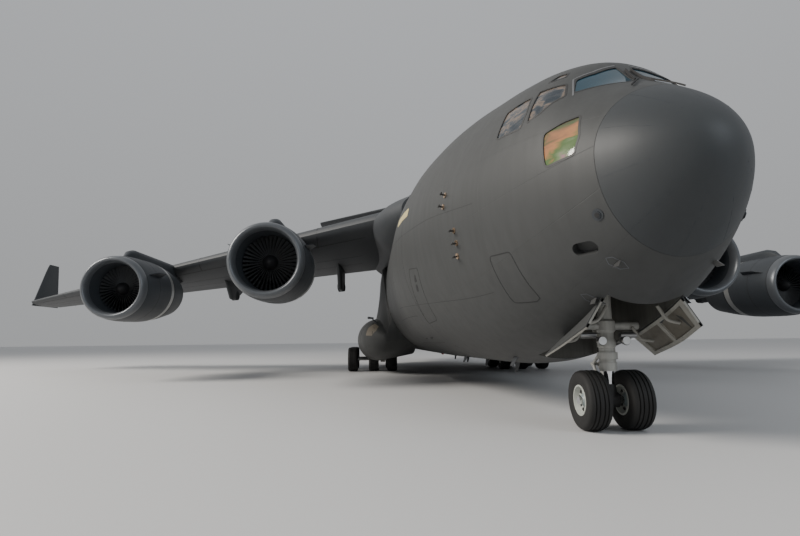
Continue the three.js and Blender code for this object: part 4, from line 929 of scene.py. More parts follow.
# %% Cargo floor with its rollers and rings
floor = mesh_object("cargo_floor", placed_box([9.2, CENTRE_AFT], [-3, 3], [1.41, 1.63]))
cut(floor, fuselage_solid(8, 31, 12, WALL + 0.001), "INTERSECT")
finish(floor, floor_paint, replaces=["cargo_floor"], slot="interior_paint")
roller = pipe([at(10.0, -0.11, 1.66), at(10.0, 0.11, 1.66)], 0.016, 8)
lanes = [Matrix.Translation((0, y * HALF, 0)) for y in (-1.7, -0.7, 0.7, 1.7)]
repeated("floor_rollers", roller, 78, steel, step=(-0.25 * HALF, 0, 0), places=lanes)
ring = turned([[-0.006, 0.028], [0.006, 0.028], [0.006, 0.02], [-0.006, 0.02]], 12, closed=True)
flat = Matrix.Rotation(math.pi / 2, 4, "Y")
first_row = [Matrix.Translation(at(10.2, y, 1.64)) @ flat for y in (-2.3, -1.2, 0, 1.2, 2.3)]
rows = [Matrix.Translation((-0.5 * k, 0, 0)) @ m for k in range(19) for m in first_row]
repeated("tie_down_rings", ring, 1, dark_gap_and_shade, places=rows)
tell("cargo floor")

# %% [markdown]
# ## Panes
#
# Each pane is a plate draped a little under the skin, with a black seal. A flat pane would stand out of the
# round nose.


# %% Window panes, seals and wipers
def both(shape):
    return [shape, mirrored(shape)]


PANE_GLASS = {"front": front_glass, "side": side_glass, "rear": side_glass, "eyebrow": side_glass,
              "chin": chin_glass}
seals = []
for name, outline in pane_outlines.items():
    how = {"replaces": ["cockpit_glazing"]} if name == "front" else {}
    piece(f"{name}_panes", both(drape(grown(outline, 0.995), -0.03, -0.012)), PANE_GLASS[name],
          slot="cockpit_glass", **how)
    seals += both(skin_strip(grown(outline, 1.0), 0.035, -0.05, 0.003, loop=True))
piece("window_seals", seals, hose_black)
# worn metal shows along the front panes' upper edges and posts
worn = skin_strip([(1.76, 50.6), (1.86, 54.2), (2.06, 60.2), (2.02, 72), (2.08, 86)], 0.03, -0.004, 0.005)
piece("worn_frames", both(worn), steel)
wiper = skin_strip([[1.9, 88.5], [1.62, 87], [1.45, 84]], 0.018, 0.0, 0.04)
arm = skin_strip([[1.45, 86], [1.25, 78], [1.12, 71]], 0.014, 0.015, 0.04)
piece("wipers", both(wiper) + both(arm), dark_gap_and_shade)
tell("panes")

# %% [markdown]
# ## Drawn gaps
#
# A closed door or hatch shows as a thin dark outline. A narrow band that follows the skin gives it without
# a cut.

# %% Doors, hatches and seams
OUTLINES = {
    "forward_door": [(8.33, 3.52), (7.43, 3.43), (7.94, 2.1), (8.99, 2.04)],
    "nose_hatch": [(3.52, 3.06), (2.88, 3.04), (2.92, 2.25), (3.05, 2.2), (3.62, 2.22)],
}
lines = [skin_strip(rounded(heights_path(corners), 0.12, 4), 0.022, -0.01, 0.002, loop=True)
         for corners in OUTLINES.values()]
for path in ([(3.7, 4.11), (7.0, 4.45), (11.77, 4.71)], [(3.96, 2.45), (7.55, 2.52), (12.13, 2.67)]):
    lines.append(skin_strip(heights_path(path), 0.008, -0.01, 0.0012))
for s in (8.9, 11.6, 17.4, 21.0, 24.6, 28.2, 33.5, 38.2, 43.0):
    turn = np.linspace(-90, 270, 120)
    lines.append(strip(skin_at(s, turn), skin_normal(s, turn), 0.012, -0.01, 0.001))
piece("skin_gaps", lines, dark_gap_and_shade)
tell("seams")

# %% [markdown]
# ## Wings and tail
#
# A lifting surface runs straight between its two end sections. A flap, an aileron, an elevator or a rudder
# is a blade with a round nose whose sections stand square to its hinge line. The same blade, a little
# larger, is cut out of the surface that carries it, so that it turns without touching.

# %% Tables of the lifting surfaces
# span, leading edge station, chord, leading edge height, trailing edge height, thickness ratio
WING = [[3.3, 15.26, 10.11, 6.8, 6.0, 0.148], [25.15, 26.9, 2.9, 4.23, 4.08, 0.105]]
TAILPLANE = [[0.22, 44.75, 5.9, 15.62, 15.62, 0.1], [9.905, 50.4, 2.62, 14.86, 14.86, 0.09]]
FIN = [[7.2, 37.0, 9.6, 0, 0, 0.115], [15.75, 44.5, 5.55, 0, 0, 0.11]]
# first and last span, share of the chord ahead of the hinge
AILERON, FLAP, ELEVATOR = (18.9, 24.4, 0.74), (5.0, 18.55, 0.72), (1.0, 9.45, 0.71)
RUDDERS = {"rudder_lower": (8.35, 11.7, 0.68), "rudder_upper": (12.0, 14.95, 0.68)}
EDGE, RUN, ROOM = 0.012, 0.016, 0.085
FOIL = (1 - np.cos(np.linspace(0, np.pi, 23))) / 2


def row_at(table, span):
    a, b = (np.array(row, float) for row in table)
    return a + (b - a) * (span - a[0]) / (b[0] - a[0])


def half_thickness(share, ratio):
    x = np.clip(share, 0, 1)
    return 5 * ratio * (0.2969 * np.sqrt(x) - 0.126 * x - 0.3516 * x**2 + 0.2843 * x**3 - 0.1036 * x**4)


def half_at(table, span, share):
    ends = [max(float(half_thickness(share, row[5])) * row[2], EDGE) for row in table]
    return ends[0] + (ends[1] - ends[0]) * (span - table[0][0]) / (table[1][0] - table[0][0])


def on_surface(table, span, share, offset=0.0, upright=False):
    """A place on a surface: its share of the chord and its offset from the chord, full size."""
    _, lead, chord, front, rear, _ = row_at(table, span)
    if upright:
        return at(lead + chord * share, offset, span)
    return at(lead + chord * share, span, front + (rear - front) * share + offset)


def foil_loft(table, upright=False):
    rings = []
    for span in (table[0][0], table[1][0]):
        halves = [max(half_at(table, span, s), EDGE) if s else 0 for s in FOIL]
        upper = [on_surface(table, span, s, h, upright) for s, h in zip(FOIL, halves)]
        lower = [on_surface(table, span, s, -h, upright) for s, h in zip(FOIL[1:], halves[1:])]
        rings.append(upper + lower[::-1])
    return tube(rings)


print("wing chord at span 14", row_at(WING, 14)[2])


# %% Blades and their cuts
def unit(vector):
    return vector / np.linalg.norm(vector)


def blade(table, row, grow=0.0, upright=False, spare=0.3):
    """A hinged surface that runs on past both its ends."""
    first, last, share = row
    a, b = on_surface(table, first, share, 0, upright), on_surface(table, last, share, 0, upright)
    edge_a, edge_b = on_surface(table, first, 1, 0, upright), on_surface(table, last, 1, 0, upright)
    axis, edge = unit(b - a), edge_b - edge_a
    halves = [half_at(table, span, share) - 0.004 + grow for span in (first, last)]
    rings = []
    for t in (-spare, 1 + spare):
        middle = a + (b - a) * t
        tail = edge_a + edge * ((middle - edge_a) @ axis) / (edge @ axis)
        back = unit(tail - middle)
        up = np.cross(axis, back)
        radius = (halves[0] + (halves[1] - halves[0]) * t) * HALF
        turn = np.linspace(math.pi / 2, 1.5 * math.pi, 17)
        ring = [middle + back * math.cos(x) * radius + up * math.sin(x) * radius for x in turn]
        half = radius if grow else EDGE * HALF
        tail = tail + back * (0.2 * HALF if grow else 0)
        rings.append(ring + [tail - up * half, tail + up * half])
    return tube(rings)


def between(a, b, before, after):
    """Everything between two planes square to a line, each a full-size distance beyond its end of it."""
    axis = unit(b - a)
    side = unit(np.cross(axis, [0.2, 0.1, 0.97]))
    up = np.cross(side, axis)
    start, length = a - axis * before * HALF, np.linalg.norm(b - a) + (before + after) * HALF
    matrix = np.eye(4)
    matrix[:3, 0], matrix[:3, 1], matrix[:3, 2], matrix[:3, 3] = axis, side, up, start
    return moved(box((0, -6, -6), (length, 6, 6)), matrix)


def hinge_ends(table, row, upright):
    return [on_surface(table, span, row[2], 0, upright) for span in row[:2]]


def cut_blade(name, table, row, grow, upright=False, line=None, room=0.0):
    """The blade between its ends as an object, grown where it is to be taken out of its carrier."""
    thing = mesh_object(name, blade(table, row, grow, upright))
    ends = line or hinge_ends(table, row, upright)
    cut(thing, between(*ends, 3 if upright else grow, grow), "INTERSECT")
    if upright:
        cut(thing, placed_box([30, 60], [-5, 5], [row[0] - room, 20]), "INTERSECT")
    return thing


def shape_of(thing):
    """An object's mesh as a shape, and the object goes."""
    shape = np.array([v.co for v in thing.data.vertices]), [tuple(f.vertices) for f in thing.data.polygons]
    bpy.data.objects.remove(thing)
    return shape


print("upper rudder's hinge", hinge_ends(FIN, RUDDERS["rudder_upper"], True))

# %% [markdown]
# ## Flap hinges
#
# The flaps turn about a line below the wing. Of the pods that hide it, the front half stays and the rear
# half moves. A barrel on the axis closes the gap at every angle.

# %% Flap hinge line, barrels and fairings
FLAP_HINGE, BARREL, BARREL_HALF = 0.715, 0.27, 0.15
FAIRING_SPANS = (5.85, 12.3, 17.6)


def flap_hinge(span):
    return on_surface(WING, span, FLAP_HINGE, -half_at(WING, span, FLAP_HINGE) - 1.13 + 0.034 * span)


def lower_skin(span, share):
    return on_surface(WING, span, share, -half_at(WING, span, share))[2] / HALF


def fairing_loft(span, rows):
    """Round-bottomed sections about a span: station, half width, bottom and top."""
    rings = []
    for station, half, low, high in rows:
        turn = np.linspace(math.pi, 2 * math.pi, 13)
        deep = min(half * 1.4, (high - low) * 0.8)
        arc = [at(station, span + half * math.cos(x), low + deep * (1 + math.sin(x))) for x in turn]
        rings.append(arc + [at(station, span + half, high), at(station, span - half, high)])
    return tube(rings)


def barrel(span, radius=BARREL, half=BARREL_HALF):
    middle, way = flap_hinge(span), unit(flap_hinge(span + 1) - flap_hinge(span))
    return pipe([middle - way * half * HALF, middle + way * half * HALF], radius * HALF, 32)


def fairings(span):
    """The fixed half and the moving half of a flap fairing."""
    _, lead, chord, _, rear, _ = row_at(WING, span)
    centre, top = flap_hinge(span)[2] / HALF, lower_skin(span, FLAP_HINGE)
    wide, under = BARREL_HALF - 0.007, rear - 0.05
    start, end = lead + chord * FLAP_HINGE, lead + chord * 1.07
    fixed = [[lead + chord * s, half, lower_skin(span, s) - drop, lower_skin(span, s) + 0.12]
             for s, half, drop in ((0.4, 0.02, 0.02), (0.45, 0.08, 0.2), (0.5, 0.12, 0.4))]
    fixed += [[lead + chord * 0.6, wide, centre - BARREL, lower_skin(span, 0.6) + 0.12],
              [start, wide, centre - BARREL + 0.01, top + 0.02]]
    moving = [[start + 0.06, BARREL_HALF - 0.01, centre - BARREL + 0.05, top + 0.02],
              [start + (end - start) * 0.45, 0.13, centre + (top - centre) * 0.25, (top + under) / 2 + 0.02],
              [end, 0.03, under - 0.06, under]]
    return fairing_loft(span, fixed), fairing_loft(span, moving)


print("flap hinge", flap_hinge(FLAP[0]), flap_hinge(FLAP[1]))

# %% [markdown]
# ## The wing
#
# One wing is made and mirrored. Boxes sliced off would leave steps at the hinges, so each gap is cut with
# the blade that turns in it.

# %% One wing with its flap and aileron
flap_line = [flap_hinge(FLAP[0]), flap_hinge(FLAP[1])]
wing = mesh_object("wing", foil_loft(WING))
for span in FAIRING_SPANS:
    cut(wing, fairings(span)[0], "UNION")
    cut(wing, barrel(span, BARREL + 0.004, 0.25))
cut(wing, shape_of(cut_blade("gap", WING, FLAP, RUN, line=flap_line)))
cut(wing, shape_of(cut_blade("gap", WING, AILERON, RUN)))
wing_shape = shape_of(wing)
flap = [shape_of(cut_blade("flap", WING, FLAP, 0, line=flap_line))]
for span in FAIRING_SPANS:
    flap += [fairings(span)[1], barrel(span)]
flap = joined(flap)
aileron = shape_of(cut_blade("aileron", WING, AILERON, 0))
print("faces of a wing", len(wing_shape[1]), "and a flap", len(flap[1]))

# %% Winglet and the wing's seams
WINGLET = [[4.02, 27.15, 2.6, 25.2665], [6.93, 29.35, 1.05, 25.81]]


def winglet_loft():
    rings = []
    for t in (0, 0.03, 0.4, 0.8, 0.93, 1):
        height, lead, chord, middle = (a + (b - a) * t for a, b in zip(*WINGLET))
        trim = 0.06 * max(0, t - 0.9) / 0.1
        lead, chord = lead + trim * chord, chord * (1 - trim)
        halves = [max(float(half_thickness(s, 0.09)) * chord, 0.015) if s else 0 for s in FOIL]
        place = [at(lead + chord * s, middle + h, height) for s, h in zip(FOIL, halves)]
        place += [at(lead + chord * s, middle - h, height) for s, h in list(zip(FOIL, halves))[:0:-1]]
        rings.append(place)
    return tube(rings)


def surface_line(table, path, face, width, upright=False):
    """A dark line on a surface: (span, share) corners on its upper (1) or lower (-1) face."""
    line = []
    for (s0, c0), (s1, c1) in zip(path, path[1:]):
        line += [(s0 + (s1 - s0) * k / 12, c0 + (c1 - c0) * k / 12) for k in range(12)]
    line.append(path[-1])
    points = np.array([on_surface(table, s, c, face * half_at(table, s, c), upright) for s, c in line])
    normal = np.array([0, face, 0]) if upright else np.array([0, 0, face])
    return strip(points, np.tile(normal.astype(float), (len(points), 1)), width, -0.02, 0.004)


WING_LINES = [[(4.4, 0.1), (24.9, 0.13)], [(5.2, 0.6), (18.4, 0.6)], [(5.2, 0.6), (5.2, 0.7)],
              [(18.4, 0.6), (18.4, 0.7)]]
wing_lines = [surface_line(WING, path, 1, 0.03) for path in WING_LINES]
SLAT_ENDS = (6.6, 9.1, 12.9, 16.1, 19.6, 22.4)
wing_lines += [surface_line(WING, [(s, 0), (s, 0.12)], 1, 0.025) for s in SLAT_ENDS]
wing_lines += [surface_line(WING, [(s, 0.6), (s, 0.7)], 1, 0.025) for s in (8.5, 11.8, 15.1)]
wing_lines += [surface_line(WING, [(4.4, 0.07), (24.9, 0.1)], -1, 0.03)]
wing_lines += [surface_line(WING, [(s, 0.005), (s, 0.085)], -1, 0.025) for s in SLAT_ENDS]
wing_lines += [surface_line(WING, [(4.6, c), (24.6, c)], -1, 0.014) for c in (0.3, 0.5)]
print("seams on a wing", len(wing_lines))

# %% Both wings
wick = pipe([(0, 0, 0), (-0.16, 0, 0)], [0.004, 0.0015], 5)
for side in SIDES:
    piece(f"wing_{side}", on_side(side, wing_shape), wing_paint_sky_tinted, replaces=[f"wing_{side}"],
          slot="airframe_grey")
    piece(f"flap_{side}", on_side(side, flap), wing_paint_sky_tinted, f"flap_{side}", replaces=[f"flap_{side}"],
          slot="composite_grey")
    piece(f"aileron_{side}", on_side(side, aileron), wing_paint_sky_tinted, f"aileron_{side}",
          replaces=[f"aileron_{side}"],
          slot="composite_grey")
    piece(f"winglet_{side}", on_side(side, winglet_loft()), wing_paint_sky_tinted, replaces=[f"winglet_{side}"],
          slot="composite_grey")
    piece(f"wing_gaps_{side}", [on_side(side, line) for line in wing_lines], dark_gap_and_shade)
    lamp = turned([[-0.03, 0.0], [-0.02, 0.02], [0.03, 0.03], [0.1, 0.02], [0.12, 0]], 12)
    lamp = moved(lamp, Matrix.Translation(at(27.12, 25.12, 4.24)) @ Matrix.Rotation(0.5, 4, "Z"))
    piece(f"tip_light_{side}", on_side(side, lamp), red_lens if side == "port" else green_lens)
    tip = on_surface(WING, 19.3, 1)
    step = (on_surface(WING, 24.1, 1) - tip) / 7
    flip = Matrix.Identity(4) if side == "port" else Matrix.Scale(-1, 4, (0, 1, 0))
    repeated(f"wicks_{side}", wick, 8, hose_black, step=step, places=[flip @ Matrix.Translation(tip)],
             body=f"aileron_{side}")
tell("wings")

# %% [markdown]
# ## Fairing and bullet
#
# Rounded shells cover the wing's root and the tail's crossing. A short table of ovals is easier to fit to a
# photo than a sculpted mesh.


# %% Wing fairing and bullet
def ovals(key, columns, count, power):
    """Rings along X from a smooth table: half width, top, bottom and middle by station."""
    stations = np.linspace(key[0], key[-1], count)
    rows = monotone(key, columns, stations)
    turn = 2 * np.pi * np.arange(72) / 72
    c, s = np.cos(turn), np.sin(turn)
    rings = []
    for station, (half, top, low, middle) in zip(stations, rows):
        across = half * np.sign(c) * np.abs(c) ** (2 / power)
        up = np.where(s >= 0, top - middle, middle - low) * np.sign(s) * np.abs(s) ** (2 / power)
        rings.append([at(station, y, middle + z) for y, z in zip(across, up)])
    return tube(rings)


FAIRING = np.array([[13.0, 3.0, 7.5, 5.6, 6.5], [14.6, 3.78, 7.68, 5.1, 6.55], [16.4, 4.12, 7.84, 4.8, 6.55],
                    [19.0, 4.15, 8.2, 4.8, 6.5], [24.0, 4.15, 8.25, 4.8, 6.4], [27.4, 3.6, 8.0, 5.3, 6.4],
                    [30.8, 2.8, 7.6, 5.9, 6.5]])
fairing = mesh_object("wing_fairing", ovals(FAIRING[:, 0], FAIRING[:, 1:], 48, 2.1))
cut(fairing, fuselage_solid(9, 36, 40, 0.03))
finish(fairing, wing_paint_sky_tinted, replaces=["wing_fairing"], slot="composite_grey")
BULLET = np.array([[43.5, 0.05, 0.06], [44.2, 0.28, 0.38], [45.5, 0.47, 0.68], [48.3, 0.5, 0.8],
                   [50.4, 0.36, 0.58],
                   [52.3, 0.06, 0.1]])
bullet = np.stack([BULLET[:, 1], 15.99 + BULLET[:, 2], 15.99 - BULLET[:, 2], np.full(6, 15.99)], 1)
piece("tail_bullet", ovals(BULLET[:, 0], bullet, 48, 2), wing_paint_sky_tinted, replaces=["tail_bullet"],
      slot="composite_grey")
tell("fairing and bullet")

# %% [markdown]
# ## The tail
#
# The fin is a wing stood upright, with two rudders. The same functions serve, with span and height
# exchanged.

# %% Fin, rudders and tailplanes
fin = mesh_object("fin", foil_loft(FIN, True))
cut(fin, fuselage_solid(30, 48.49, 40, 0.05))
for name, row in RUDDERS.items():
    cut(fin, shape_of(cut_blade("gap", FIN, row, RUN, True, room=ROOM)))
    rudder = cut_blade(name, FIN, row, 0, True)
    finish(rudder, wing_paint_sky_tinted, name, replaces=[name], slot="composite_grey")
finish(fin, wing_paint_sky_tinted, replaces=["fin"], slot="composite_grey")
tailplane = mesh_object("tailplane", foil_loft(TAILPLANE))
cut(tailplane, shape_of(cut_blade("gap", TAILPLANE, ELEVATOR, RUN)))
tailplane = shape_of(tailplane)
elevator = shape_of(cut_blade("elevator", TAILPLANE, ELEVATOR, 0))
for side in SIDES:
    piece(f"tailplane_{side}", on_side(side, tailplane), wing_paint_sky_tinted, replaces=[f"tailplane_{side}"],
          slot="airframe_grey")
    piece(f"elevator_{side}", on_side(side, elevator), wing_paint_sky_tinted, f"elevator_{side}",
          replaces=[f"elevator_{side}"],
          slot="composite_grey")
fin_lines = [surface_line(FIN, [(8.0, 0.12), (15.0, 0.12)], face, 0.02, True) for face in (-1, 1)]
fin_lines += [surface_line(FIN, [(z, 0.12), (z, 0.6)], face, 0.014, True) for face in (-1, 1)
              for z in (10.0, 12.4, 14.2)]
for line in [surface_line(TAILPLANE, [(0.8, 0.14), (9.6, 0.14)], face, 0.02) for face in (-1, 1)]:
    fin_lines += [line, mirrored(line)]
piece("tail_gaps", fin_lines, dark_gap_and_shade)
tell("tail")

# %% [markdown]
# ## Engines
#
# An engine is round, so profiles turned about the X axis are truer than sculpting. Lip, cowl, core and plug
# are made once and placed four times. The fan's blades are narrow and twisted.

# %% Sections of the nacelle and core
ENGINES = {"outer_starboard": (-14.73, 15.57, 3.87), "inner_starboard": (-7.73, 11.5, 4.34),
           "inner_port": (7.73, 11.5, 4.34), "outer_port": (14.73, 15.57, 3.87)}
DROOP = 0.03
BLADES, VANES = 38, 48
OUTSIDE = np.array([[0.34, 1.322], [0.6, 1.362], [1.2, 1.395], [2.2, 1.4], [3.4, 1.32], [4.9, 1.1]])
INSIDE = np.array([[0.34, 1.045], [0.7, 1.03], [1.1, 1.01], [1.7, 1.06], [2.4, 1.14], [4.9, 1.075]])


def curve(table, count):
    where = np.linspace(table[0, 0], table[-1, 0], count)
    return np.stack([where, monotone(table[:, 0], table[:, 1:], where)[:, 0]], 1)


def sized(profile):
    return [(aft * HALF, radius * HALF) for aft, radius in profile]


angles = np.linspace(0, np.pi, 15)
outer_lip = [(0.34 - 0.34 * math.sin(a / 2), 1.17 + 0.152 * math.cos(a / 2)) for a in angles]
inner_lip = [(0.34 - 0.34 * math.cos(a / 2), 1.17 - 0.125 * math.sin(a / 2)) for a in angles[1:]]
lip_shape = turned(sized(outer_lip + inner_lip), 96, closed=True)
cowl_shape = turned(sized([*curve(OUTSIDE, 40), *curve(INSIDE, 30)[::-1]]), 96, closed=True)
band = [(a, float(monotone(OUTSIDE[:, 0], OUTSIDE[:, 1:], [a])[0, 0]) + 0.004)
        for a in (2.72, 2.78, 3.02, 3.08)]
band_shape = turned(sized([*band, *[(a, r - 0.02) for a, r in reversed(band)]]), 96, closed=True)
JOINT_STATIONS = (3.13, 3.16, 1.42, 0.37)
joint_rings = []
for a in JOINT_STATIONS:
    r = float(monotone(OUTSIDE[:, 0], OUTSIDE[:, 1:], [a])[0, 0])
    section = [(a - 0.008, r + 0.003), (a + 0.008, r + 0.003), (a + 0.008, r - 0.02), (a - 0.008, r - 0.02)]
    joint_rings.append(turned(sized(section), 96, True))
CORE = [(1.75, 0.2), (1.78, 0.6), (2.2, 0.74), (2.7, 0.8), (3.6, 0.8), (4.4, 0.76), (5.6, 0.56), (5.6, 0.53),
        (4.9, 0.6), (4.9, 0.2)]
HUB = [(0.62, 0.0), (0.64, 0.05), (0.7, 0.12), (0.78, 0.19), (0.88, 0.25), (1.0, 0.28), (1.18, 0.29),
       (1.18, 0.0)]
core_shape = turned(sized(CORE), 64, True)
# a near-black disc across the duct behind the fan: painted shade deep in the engine
duct_shade_disc = turned(sized([(2.35, 0.1), (2.35, 1.14), (2.4, 1.14), (2.4, 0.1)]), 64, True)
plug_shape = turned(sized([(4.8, 0.0), (4.8, 0.5), (5.4, 0.45), (5.9, 0.36), (6.5, 0.16), (6.9, 0.0)]), 48)
hub_shape = turned(sized(HUB), 48)
print("faces of a cowl", len(cowl_shape[1]), "and a core", len(core_shape[1]))


# %% Fan blades and vanes
def fan_blade(root=0.26, tip=0.985, chord=(0.07, 0.14), lean=(24, 50), thick=0.012, station=1.0, rows=7):
    """One twisted blade that stands up from the X axis."""
    rings = []
    for t in np.linspace(0, 1, rows):
        radius, width = root + (tip - root) * t, chord[0] + (chord[1] - chord[0]) * t
        angle = math.radians(lean[0] + (lean[1] - lean[0]) * t)
        half = thick * (1 - 0.6 * t)
        ring = []
        for u, v in ((-0.5, 0), (-0.2, half), (0.2, half), (0.5, 0), (0.2, -half), (-0.2, -half)):
            back = station + u * width * math.cos(angle) + v * math.sin(angle) + 0.05 * t * t
            side = u * width * math.sin(angle) - v * math.cos(angle)
            ring.append((-back * HALF, side * HALF, math.sqrt(radius**2 - side**2) * HALF))
        rings.append(ring)
    return tube(rings)


vane = fan_blade(0.62, 1.08, (0.25, 0.28), (12, 12), 0.018, 1.9, 3)
print("faces of a blade", len(fan_blade()[1]))

# %% [markdown]
# ## Strakes and pylons
#
# A pylon hangs each engine ahead of the wing, and two small fins guide the air. Lofts through a few
# sections follow their outlines with few points.

# %% Strakes and pylons
# distance aft of the lip and height over the nacelle's side
STRAKE = [[0.6, 0.02], [0.95, 0.26], [1.6, 0.3], [1.8, 0.02]]
STRAKE_DEGREES, STRAKE_FOOT, STRAKE_ROOT = 24, 1.385, 1.33


def engine_strake(sign):
    """A thin fin on the nacelle's side, a little above its middle."""
    turn = math.radians(STRAKE_DEGREES)
    corners = [(aft, STRAKE_FOOT + high) for aft, high in STRAKE]
    corners += [(1.8, STRAKE_ROOT), (0.6, STRAKE_ROOT)]
    return tube([[(-aft * HALF, sign * r * HALF * math.cos(turn), (r * math.sin(turn) + thick) * HALF)
                  for aft, r in corners] for thick in (-0.012, 0.012)])


# the pylon: share of the way from the lip to the leading edge, half width, rise, fall
PYLON = np.array([[0.15, 0.06, 0.15, 1.15], [0.3, 0.25, 0.6, 1.15], [0.65, 0.29, 1.0, 1.05],
                  [1.0, 0.26, 1.28, 0.8],
                  [1.4, 0.22, 1.15, 1.3], [1.75, 0.07, 0.85, 1.75]])
COWL_TOP, CREST, CREST_RUN = 1.34, 0.48, 0.12


def pylon_loft(span, lip, axis):
    """A pylon from the nacelle's crown back to under the wing."""
    _, lead, _, front, _, _ = row_at(WING, abs(span))
    rise = front - axis - COWL_TOP
    first, last = PYLON[0, 0], PYLON[-1, 0]
    rings = []
    for share in np.linspace(first, last, 25):
        half, up, low = monotone(PYLON[:, 0], PYLON[:, 1:], [share])[0]
        crest = CREST * math.sin(math.pi / 2 * min(1, (share - first) / CREST_RUN))
        station, high = lip + (lead - lip) * share, axis + COWL_TOP + max(rise * up, crest)
        floor = min(axis + low, high - 0.1)
        turn = np.linspace(0, np.pi, 13)
        ring = [at(station, span - half, floor), at(station, span + half, floor)]
        ring += [at(station, span + half * math.cos(x), high - half * 0.8 * (1 - math.sin(x))) for x in turn]
        rings.append(ring)
    return tube(rings)


print("faces of a pylon", len(pylon_loft(*ENGINES["inner_port"])[1]))

# %% Four engines
for name, (span, lip, axis) in ENGINES.items():
    place = Matrix.Translation(at(lip, span, axis)) @ Matrix.Rotation(DROOP, 4, "Y")
    piece(f"cowl_{name}", moved(cowl_shape, place), nacelle_paint_sky_shaded, replaces=[f"nacelle_{name}"],
          slot="composite_grey")
    piece(f"lip_{name}", moved(lip_shape, place), lip_paint)
    piece(f"cowl_band_{name}", moved(band_shape, place), band_paint)
    piece(f"cowl_gaps_{name}", [moved(s, place) for s in joint_rings], dark_gap_and_shade)
    piece(f"strakes_{name}", [moved(engine_strake(sign), place) for sign in (-1, 1)], nacelle_paint_sky_shaded)
    # the core and the duct disc are near-black: painted shade inside the engine
    piece(f"core_{name}", [moved(core_shape, place), moved(duct_shade_disc, place)], dark_gap_and_shade,
          replaces=[f"core_{name}"], slot="core_metal")
    piece(f"plug_{name}", moved(plug_shape, place), burnt_metal)
    piece(f"spinner_{name}", moved(hub_shape, place), spinner_black, f"fan_{name}", replaces=[f"fan_{name}"],
          slot="fan_metal")
    repeated(f"fan_blades_{name}", fan_blade(), BLADES, fan_steel, turn=2 * math.pi / BLADES, places=[place],
             body=f"fan_{name}")
    # the vanes are near-black too: painted shade behind the fan
    repeated(f"vanes_{name}", vane, VANES, dark_gap_and_shade, turn=2 * math.pi / VANES, places=[place])
    piece(f"pylon_{name}", pylon_loft(span, lip, axis), nacelle_paint_sky_shaded, replaces=[f"pylon_{name}"],
          slot="airframe_grey")
tell("engines")

# %% [markdown]
# ## Side pods
#
# Each pod is a round bulb below and a slanting cheek above, with a crease between them. The cheek leans on
# the fuselage, and the bulb is open around the wheels. A loft through written rings keeps the crease crisp.

# %% Sections of a pod
# station, height and radius of the bulb, span of its middle, span and height of the top
POD = np.array([[17.7, 1.75, 0.2, 3.45, 3.2, 2.5], [18.2, 1.7, 0.62, 3.55, 3.3, 3.4],
                [19.2, 1.66, 0.92, 3.7, 3.4, 4.6],
                [20.8, 1.65, 1.05, 3.8, 3.45, 5.4], [27.0, 1.65, 1.05, 3.8, 3.45, 5.4],
                [30.0, 1.75, 0.8, 3.65, 3.4, 4.6],
                [32.2, 2.1, 0.3, 3.3, 3.1, 3.4]])
POD_INNER, CHEEK_BOW = 2.1, 0.06
POD_FRONT, POD_LENGTH = 17.7, 14.5
WELL = {"forward": 21.25, "aft": 25.6, "inner": 2.55, "outer": 6.2, "top": 1.5}


def bulb(station, degrees, grow=0.0):
    """Span and height of a place on the bulb, degrees up from its outermost line."""
    height, radius, middle = monotone(POD[:, 0], POD[:, 1:4], [station])[0]
    a = math.radians(degrees)
    return middle + (radius + grow) * math.cos(a), height + (radius + grow) * math.sin(a)


def pod_ring(station):
    height, radius, middle, top_span, top_height = monotone(POD[:, 0], POD[:, 1:], [station])[0]
    ring = [(POD_INNER, height - radius * 0.7)] + [bulb(station, d) for d in np.linspace(-100, 80, 31)]
    crease = np.array([min(top_span + 0.45, middle + radius * 0.1), height + radius * 1.02])
    shoulder = np.array([top_span + 0.12, top_height - 0.15])
    cheek = [crease + (shoulder - crease) * t - [CHEEK_BOW * math.sin(math.pi * t), 0]
             for t in np.linspace(0, 1, 7)]
    ring += [*cheek, (top_span, top_height), (POD_INNER, top_height)]
    return np.array([at(station, y, z) for y, z in ring])


print("pod at the wheels", bulb(24, 0))

# %% Pod shell with its wheel well
pod_rings = [pod_ring(POD_FRONT + POD_LENGTH * t * t) for t in np.linspace(0, 1, 60)]
front = pod_rings[0].mean(0)
tips = [front + (pod_rings[0] - front) * s + [x * HALF, 0, 0] for s, x in ((0.35, 0.1), (0.8, 0.05))]
pod_rings = tips + pod_rings
pod = mesh_object("pod", tube(pod_rings))
cut(pod, placed_box([WELL["forward"], WELL["aft"]], [WELL["inner"], WELL["outer"]], [-1, WELL["top"]]))
cut(pod, placed_box([CENTRE_AFT - 0.1, CENTRE_AFT + 4], [0, 2.416], [-1, 8]))
cut(pod, fuselage_solid(15, 35, 30, 0.03))
pod = shape_of(pod)
print("faces of a pod", len(pod[1]))

# %% Seams, slots, strut and lamp of a pod
bulb_lines = []
for station in (19.5, 21.1, 25.75, 28.4):
    points = np.array([at(station, *bulb(station, d)) for d in np.linspace(-80, 78, 24)])
    bulb_lines.append(strip(points, points - at(station, 3.75, 1.65), 0.02, -0.01, 0.004))
# a cooling slot and a service slot, from one station and angle to another, drawn as dark strips of painted
# shade
for a, b in (((18.25, 48), (18.9, 62)), ((18.15, 20), (18.22, 32))):
    line = []
    for t in np.linspace(0, 1, 7):
        station = a[0] + (b[0] - a[0]) * t
        line.append(at(station, *bulb(station, a[1] + (b[1] - a[1]) * t)))
    bulb_lines.append(strip(np.array(line), np.array(line) - at(18.9, 3.6, 1.68), 0.06, -0.02, 0.006))
